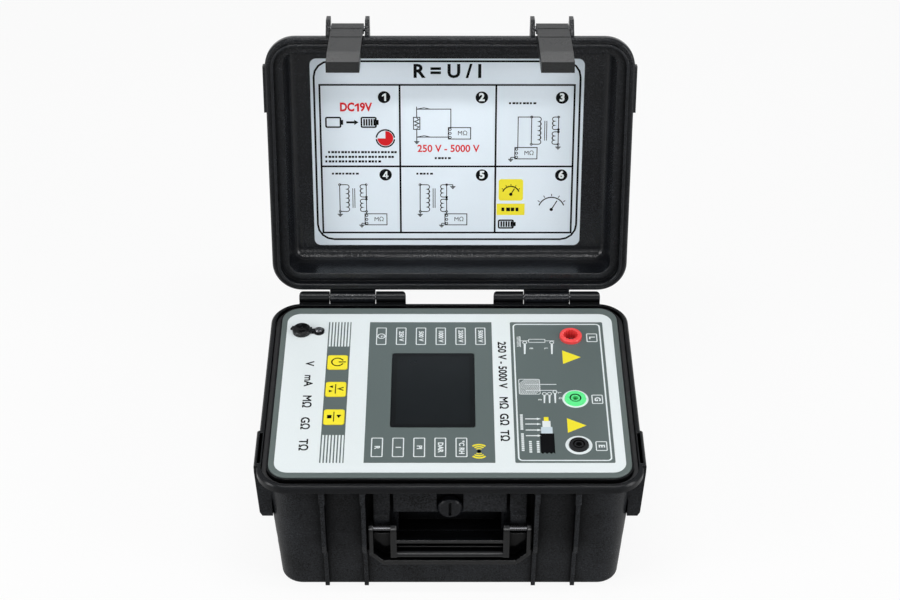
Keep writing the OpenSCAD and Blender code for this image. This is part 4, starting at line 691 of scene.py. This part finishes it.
close_finish(start, Base_Color=blend_colours(start, fibre, (0.73, 0.81, 0.88, 1), (0.78, 0.86, 0.93, 1)),
             Roughness=0.4 + 0.15 * (fibre - 0.5), Normal=relief, Specular_IOR_Level=0.12)
dress(sheet_paper, "instruction_sheet")
red_ink = ink_finish("red_ink", (0.66, 0.012, 0.018, 1))

lid_hinge = next(joint for joint in frame["joints"] if joint["name"] == "lid_hinge")
tilt = np.radians(lid_hinge["range_deg"][1])
across, upward = np.array([1.0, 0.0, 0.0]), np.array([0.0, -np.cos(tilt), np.sin(tilt)])
sheet_axes = np.stack([across, upward, np.cross(across, upward)], 1) * MM
sheet_place = np.eye(4)
sheet_place[:3, :3] = sheet_axes * PRINT_SCALE
sheet_place[:3, 3] = np.mean(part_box("instruction_sheet"), axis=0) + sheet_axes @ PRINT_SHIFT


def raised(films, lift=INK):
    """Films moved up, to lie on another ink."""
    return [(points + (0, 0, lift), faces) for points, faces in films]


def digit_one(height, centre):
    """A bold 1: an upright bar with a short flag at its upper left."""
    corners = [(0.26, -0.5), (0.26, 0.5), (0.06, 0.5), (-0.26, 0.26), (-0.26, 0.06), (0.02, 0.22),
               (0.02, -0.5)]
    return [patch(np.array(centre) + height * np.array(corners))]


def digit_four(height, centre):
    """A bold 4: an upright bar, and a slanted one that turns into a level one."""
    stem = np.array([(0.14, -0.5), (0.14, 0.5)])
    arm = np.array([(0.1, 0.42), (-0.28, -0.2), (0.36, -0.2)])
    return [line(np.array(centre) + height * bar, 0.17 * height) for bar in (stem, arm)]


def battery(left, middle, length, height, bars):
    """A battery drawn lying down: a rounded box, its terminal at the right and the bars of its charge."""
    body = length * 0.85
    tip = (left + body + length * 0.05, middle)
    films = [box_line((left + body / 2, middle), (body, height), 1.4, 1.2),
             patch(outline_of_box(tip, (length * 0.1, height * 0.45), 0.3))]
    step = (body - 2.6) / 5
    for bar in range(bars):
        bar_x = left + 1.3 + step * (bar + 0.7)
        films.append(line([(bar_x, middle - height * 0.3), (bar_x, middle + height * 0.3)], 1.3))
    return films


def dashes(left, right, level, height, step):
    """A row of small plain blocks, 0.6 to 0.84 of a step wide in turn."""
    starts = np.arange(left, right - 0.5 * step, step)
    widths = step * (0.6 + 0.12 * (np.arange(len(starts)) * 2 % 3))
    return [patch(outline_of_box((at + wide / 2, level), (wide, height), 0.1, 2))
            for at, wide in zip(starts, widths)]


def ground(spot):
    """An earth mark: a stem over three bars that get shorter."""
    films = [line([spot, (spot[0], spot[1] - 1.5)], WIRE)]
    for step, half in ((1.5, 2.0), (2.3, 1.3), (3.1, 0.6)):
        films.append(line([(spot[0] - half, spot[1] - step), (spot[0] + half, spot[1] - step)], WIRE))
    return films


def terminal(spot, radius):
    """A terminal: a small ring."""
    return line(arc(spot, radius, 0, 340, 12), TERMINAL, closed=True)


def terminal_box(left, low):
    """The tester as a box with three terminals at its left edge."""
    films = [box_line((left + 8.7, low + 4.9), (17.4, 9.8), 0.2, WIRE),
             letters("MΩ", 3.4, (left + 11.0, low + 4.9), weight=0.0)]
    return films + [terminal((left + 1.6, low + rise), 0.9) for rise in (1.7, 4.9, 8.1)]


def coil(x, high, low, turns, side):
    """A winding: half circles one above the other, bulging to one side."""
    edge = np.linspace(high, low, turns + 1)
    radius = (edge[0] - edge[1]) / 2
    bows = [arc((x, (top + end) / 2), radius, 90, 90 - side * 180, 7)
            for top, end in zip(edge[:-1], edge[1:])]
    return [line(np.concatenate([bows[0]] + [bow[1:] for bow in bows[1:]]), WIRE)]


def transformer(left, high, low):
    """A transformer: one winding with two terminals, a core of two bars and two windings opposite."""
    middle = (high + low) / 2
    near, far, out = left + 5.4, left + 17.2, left + 20.2
    films = coil(near, high, low, 6, 1) + coil(far, high, middle + 0.9, 3, -1)
    films += coil(far, middle - 0.9, low, 3, -1)
    for bar in (left + 9.9, left + 11.4):
        films.append(line([(bar, high - 3.0), (bar, low + 3.0)], TERMINAL))
    for level in (high, low):
        films += [line([(left, level), (near, level)], WIRE), terminal((left, level), 0.8)]
    films.append(line([(left, high - 0.8), (left, low + 0.8)], WIRE))
    for level in (high, middle + 0.9, middle - 0.9, low):
        films += [line([(far, level), (out, level)], WIRE), terminal((out, level), 0.7)]
    films.append(line([(out, high - 0.7), (out, low + 0.7)], WIRE))
    return films


# The frame, the table's rules, the heading and the numbered badges.
table_middle = ((TABLE_X[0] + TABLE_X[3]) / 2, (TABLE_Y[0] + TABLE_Y[2]) / 2)
table_size = (TABLE_X[3] - TABLE_X[0], TABLE_Y[2] - TABLE_Y[0])
black_films = [box_line((-2.2, 0.3), (199.6, 144.6), 13.0, 1.5),
               box_line(table_middle, table_size, 0.2, RULE),
               line([(TABLE_X[0], TABLE_Y[1]), (TABLE_X[3], TABLE_Y[1])], RULE),
               line([(TABLE_X[1], TABLE_Y[0]), (TABLE_X[1], TABLE_Y[2])], RULE),
               line([(TABLE_X[2], TABLE_Y[0]), (TABLE_X[2], TABLE_Y[2])], RULE),
               letters("R = U / I", 10.2, (-2.0, 63.8), weight=0.045)]
white_films, red_films = [], []
for number, spot in enumerate(BADGES, 1):
    black_films.append(patch(arc(spot, BADGE_R, 0, 350, 36)))
    drawn = {1: digit_one, 4: digit_four}.get(number)
    white_films += raised(drawn(DIGIT, spot) if drawn else [letters(str(number), DIGIT, spot, weight=0.06)])

# First cell: charging, with an empty and a full battery and a dial that is three quarters done.
CHARGE_Y, VOLTS_Y, VOLTS = 24.0, 35.8, 6.4
DIAL = (-48.6, 11.2)
black_films += battery(-93.6, CHARGE_Y, 14.2, 8.8, 0) + battery(-67.0, CHARGE_Y, 14.2, 8.8, 5)
black_films.append(arrow(-77.8, -71.8, -68.6, CHARGE_Y, 0.8, 2.0))
red_films += digit_one(VOLTS, (-69.6, VOLTS_Y))
red_films += [letters("DC", VOLTS, (-77.0, VOLTS_Y), weight=0.06, width=0.82),
              letters("9V", VOLTS, (-63.0, VOLTS_Y), weight=0.05, width=0.88),
              patch(np.r_[[DIAL], arc(DIAL, 5.9, -180, 90, 40)])]
black_films += [line(arc(DIAL, 6.8, side + 5, side + 175, 24), 1.1) for side in (0, 180)]
for row, left, reach in ((0.2, -92.0, -40.0), (-3.6, -94.2, -41.0), (-7.3, -94.2, -51.0)):
    black_films += dashes(left, reach, row, 1.7, 2.5)

# Second cell: the tester across a resistor.
LOAD_X, TOP_LEAD, LOW_LEAD = -25.0, 34.5, 12.3
black_films += [box_line((LOAD_X, 23.2), (5.4, 10.2), 0.2, WIRE),
                line([(LOAD_X, 28.3), (LOAD_X, 36.4)], WIRE), line([(LOAD_X, 18.1), (LOAD_X, 9.4)], WIRE),
                line([(LOAD_X, TOP_LEAD), (0.6, TOP_LEAD), (0.6, 19.4)], WIRE),
                line([(LOAD_X, LOW_LEAD), (-0.8, LOW_LEAD)], WIRE)]
zigzag = np.c_[LOAD_X + 1.6 * np.array([0, 1, -1, 1, -1, 1, 0]), np.linspace(27.4, 19.0, 7)]
black_films.append(line(zigzag, WIRE))
black_films += ground((LOAD_X, 10.2)) + terminal_box(-1.6, 10.4) + dashes(-11.5, 2.0, -4.6, 1.6, 2.5)
red_films.append(letters("250 V - 5000 V", 5.6, (-1.3, 2.9), weight=0.03, width=0.95))
for level in (TOP_LEAD, LOW_LEAD):
    black_films.append(line([(LOAD_X, level), (-19.5, level + 1.1), (-14.5, level)], FINE))

# Third to fifth cell: the tester on the windings of a transformer.
black_films += transformer(61.2, 28.3, 6.6) + terminal_box(48.6, -5.5)
black_films += ground((81.4, 5.9)) + ground((45.9, -4.0))
black_films += [line([(61.2, 28.3), (51.1, 28.3), (51.1, 4.0)], WIRE),
                line([(45.9, -4.0), (49.4, -4.0)], WIRE)]
for left in (-83.9, -22.7):
    black_films += transformer(left, -26.2, -48.2) + ground((left, -49.0))
    black_films += terminal_box(left + 18.6, -59.6) + ground((left + 16.4, -58.0))
    black_films += [line([(left + 20.2, -48.9), (left + 20.2, -50.2)], WIRE),
                    line([(left + 16.4, -58.0), (left + 19.4, -58.0)], WIRE)]
black_films += [line([(-2.5, -26.2), (2.2, -26.2)], WIRE)] + ground((2.2, -26.2))
for left, right, level in ((44.0, 64.5, 39.2), (-89.5, -68.0, -17.2), (-25.5, -13.5, -17.2)):
    black_films += dashes(left, right, level, 1.5, 2.6)

# Sixth cell: a full battery and two plain meter dials, one of them on a yellow ground.
black_films += battery(36.8, -58.6, 14.4, 7.6, 5)
yellow_films = [patch(outline_of_box((46.4, -30.4), (18.6, 17.6), 2.0)),
                patch(outline_of_box((46.4, -46.4), (21.4, 9.4), 0.3))]
black_films += raised(dashes(39.4, 54.4, -46.4, 3.0, 3.6))
for pivot, scale, lift in (((46.4, -34.0), 6.5, INK), ((77.5, -46.5), 10.0, 0.0)):
    marks = [line(arc(pivot, scale, 20, 160, 21), 0.9), patch(arc(pivot, 1.3, 0, 340, 18)),
             line([pivot, (pivot[0] + 0.42 * scale, pivot[1] + 0.72 * scale)], 0.8)]
    for turn in (35, 62, 90, 118, 145):
        ends = [arc(pivot, scale * reach, turn, turn, 1) for reach in (1.1, 1.28)]
        marks.append(line(np.concatenate(ends), 0.6))
    black_films += raised(marks, lift)

for name, films, material in (("sheet_black_print", black_films, black_ink),
                              ("sheet_white_print", white_films, white_ink),
                              ("sheet_red_print", red_films, red_ink),
                              ("sheet_yellow_print", yellow_films, yellow_ink)):
    new_piece(name, films, material, sheet_place, "lid")

# Stage: a pale seamless floor, soft lights above, behind, in front and at both sides, and the camera
# above the front edge at the photograph's angle. Floor and sky are white to the camera itself, and
# dimmer in what mirrors them, as in a studio with dark walls.
FLOOR_HALF = 8.0
FLOOR_CORNERS = FLOOR_HALF * np.array([(-1, -1, 0), (1, -1, 0), (1, 1, 0), (-1, 1, 0)])
floor_mesh = bpy.data.meshes.new("floor")
floor_mesh.from_pydata(FLOOR_CORNERS.tolist(), [], [(0, 1, 2, 3)])


def seen_rays(start):
    """Two wires: 1 for what the camera sees itself, and 1 for what it sees in or through a surface."""
    direct = start.add("ShaderNodeLightPath", output="Is Camera Ray")
    return direct, direct.also("Is Glossy Ray") + direct.also("Is Transmission Ray")


floor_white, start, place = new_finish("floor_white")
direct, mirrored = seen_rays(start)
x, y, _ = axes(start, place)
in_front = start.add("ShaderNodeMapRange", Value=y, From_Min=-0.8, From_Max=-0.16, To_Min=0.1, To_Max=0.36)
beside = start.add("ShaderNodeMapRange", Value=abs(x), From_Min=0.15, From_Max=0.32, To_Min=0.0, To_Max=0.5)
matt = start.add("ShaderNodeBsdfDiffuse", Color=(0.8, 0.8, 0.8, 1))
glow = start.add("ShaderNodeEmission", Color=(1, 1, 1, 1), Strength=direct + (in_front + beside) * mirrored)
mixed = start.add("ShaderNodeMixShader", Fac=0.9 * direct + mirrored, n1=matt, n2=glow)
start.add("ShaderNodeOutputMaterial", Surface=mixed)
floor_mesh.materials.append(floor_white)
floor = bpy.data.objects.new("floor", floor_mesh)
bpy.context.scene.collection.objects.link(floor)

SKY_LIGHT, SKY_SEEN, SKY_MIRRORED = 0.14, 0.86, 0.4
world = bpy.data.worlds.new("studio")
bpy.context.scene.world = world
world.use_nodes = True
world.node_tree.nodes.clear()
start = Wire(world.node_tree)
direct, mirrored = seen_rays(start)
sky = start.add("ShaderNodeBackground", Color=(0.95, 0.975, 1.0, 1),
                Strength=SKY_LIGHT + SKY_SEEN * direct + SKY_MIRRORED * mirrored)
start.add("ShaderNodeOutputWorld", Surface=sky)


def turned_to(place, target):
    """The turn that points a lamp or camera's -Z from a place at a target, with its Y upwards."""
    back = np.array(place, float) - np.array(target, float)
    back /= np.linalg.norm(back)
    right = np.cross((0, 0, 1), back)
    right /= np.linalg.norm(right)
    return np.stack([right, np.cross(back, right), back], 1)


def set_in_place(thing, place, turn):
    """Links a lamp or camera to the scene at a place, with the columns of a turn as its axes."""
    pose = np.eye(4)
    pose[:3, :3] = turn
    pose[:3, 3] = place
    bpy.context.scene.collection.objects.link(thing)
    thing.matrix_world = Matrix(pose.tolist())


AIM = (0.0, 0.02, 0.16)
for name, place, size, power in (("overhead", (0.0, -0.25, 1.65), (1.3, 0.13), 11.6),
                                 ("back", (0.0, 2.4, 1.15), (1.6, 0.45), 9.0),
                                 ("lid_strip", (0.0, 0.26, 1.5), (0.7, 0.06), 1.3),
                                 ("front", (0.0, -1.5, 0.62), (1.2, 0.22), 4.5),
                                 ("left_side", (-1.3, -0.6, 0.8), (0.5, 0.9), 10.0),
                                 ("right_side", (1.3, -0.6, 0.8), (0.5, 0.9), 10.0)):
    lamp = bpy.data.lights.new(name, "AREA")
    lamp.shape = "RECTANGLE"
    lamp.size, lamp.size_y = size
    lamp.energy = power
    set_in_place(bpy.data.objects.new(name, lamp), place, turned_to(place, AIM))

EYE = np.array([-0.00373, -1.07174, 1.07099])
HEADING = np.array([0.00265, 0.77589, -0.63086])
ROLL = np.radians(0.14)
level = turned_to(EYE, EYE + HEADING)
turn = level.copy()
turn[:, 0] = np.cos(ROLL) * level[:, 0] + np.sin(ROLL) * level[:, 1]
turn[:, 1] = np.cos(ROLL) * level[:, 1] - np.sin(ROLL) * level[:, 0]
lens = bpy.data.cameras.new("camera")
lens.lens = 78.06
lens.sensor_width = 36.0
camera = bpy.data.objects.new("camera", lens)
set_in_place(camera, EYE, turn)
bpy.context.scene.camera = camera
bpy.context.scene.view_settings.view_transform = "Standard"
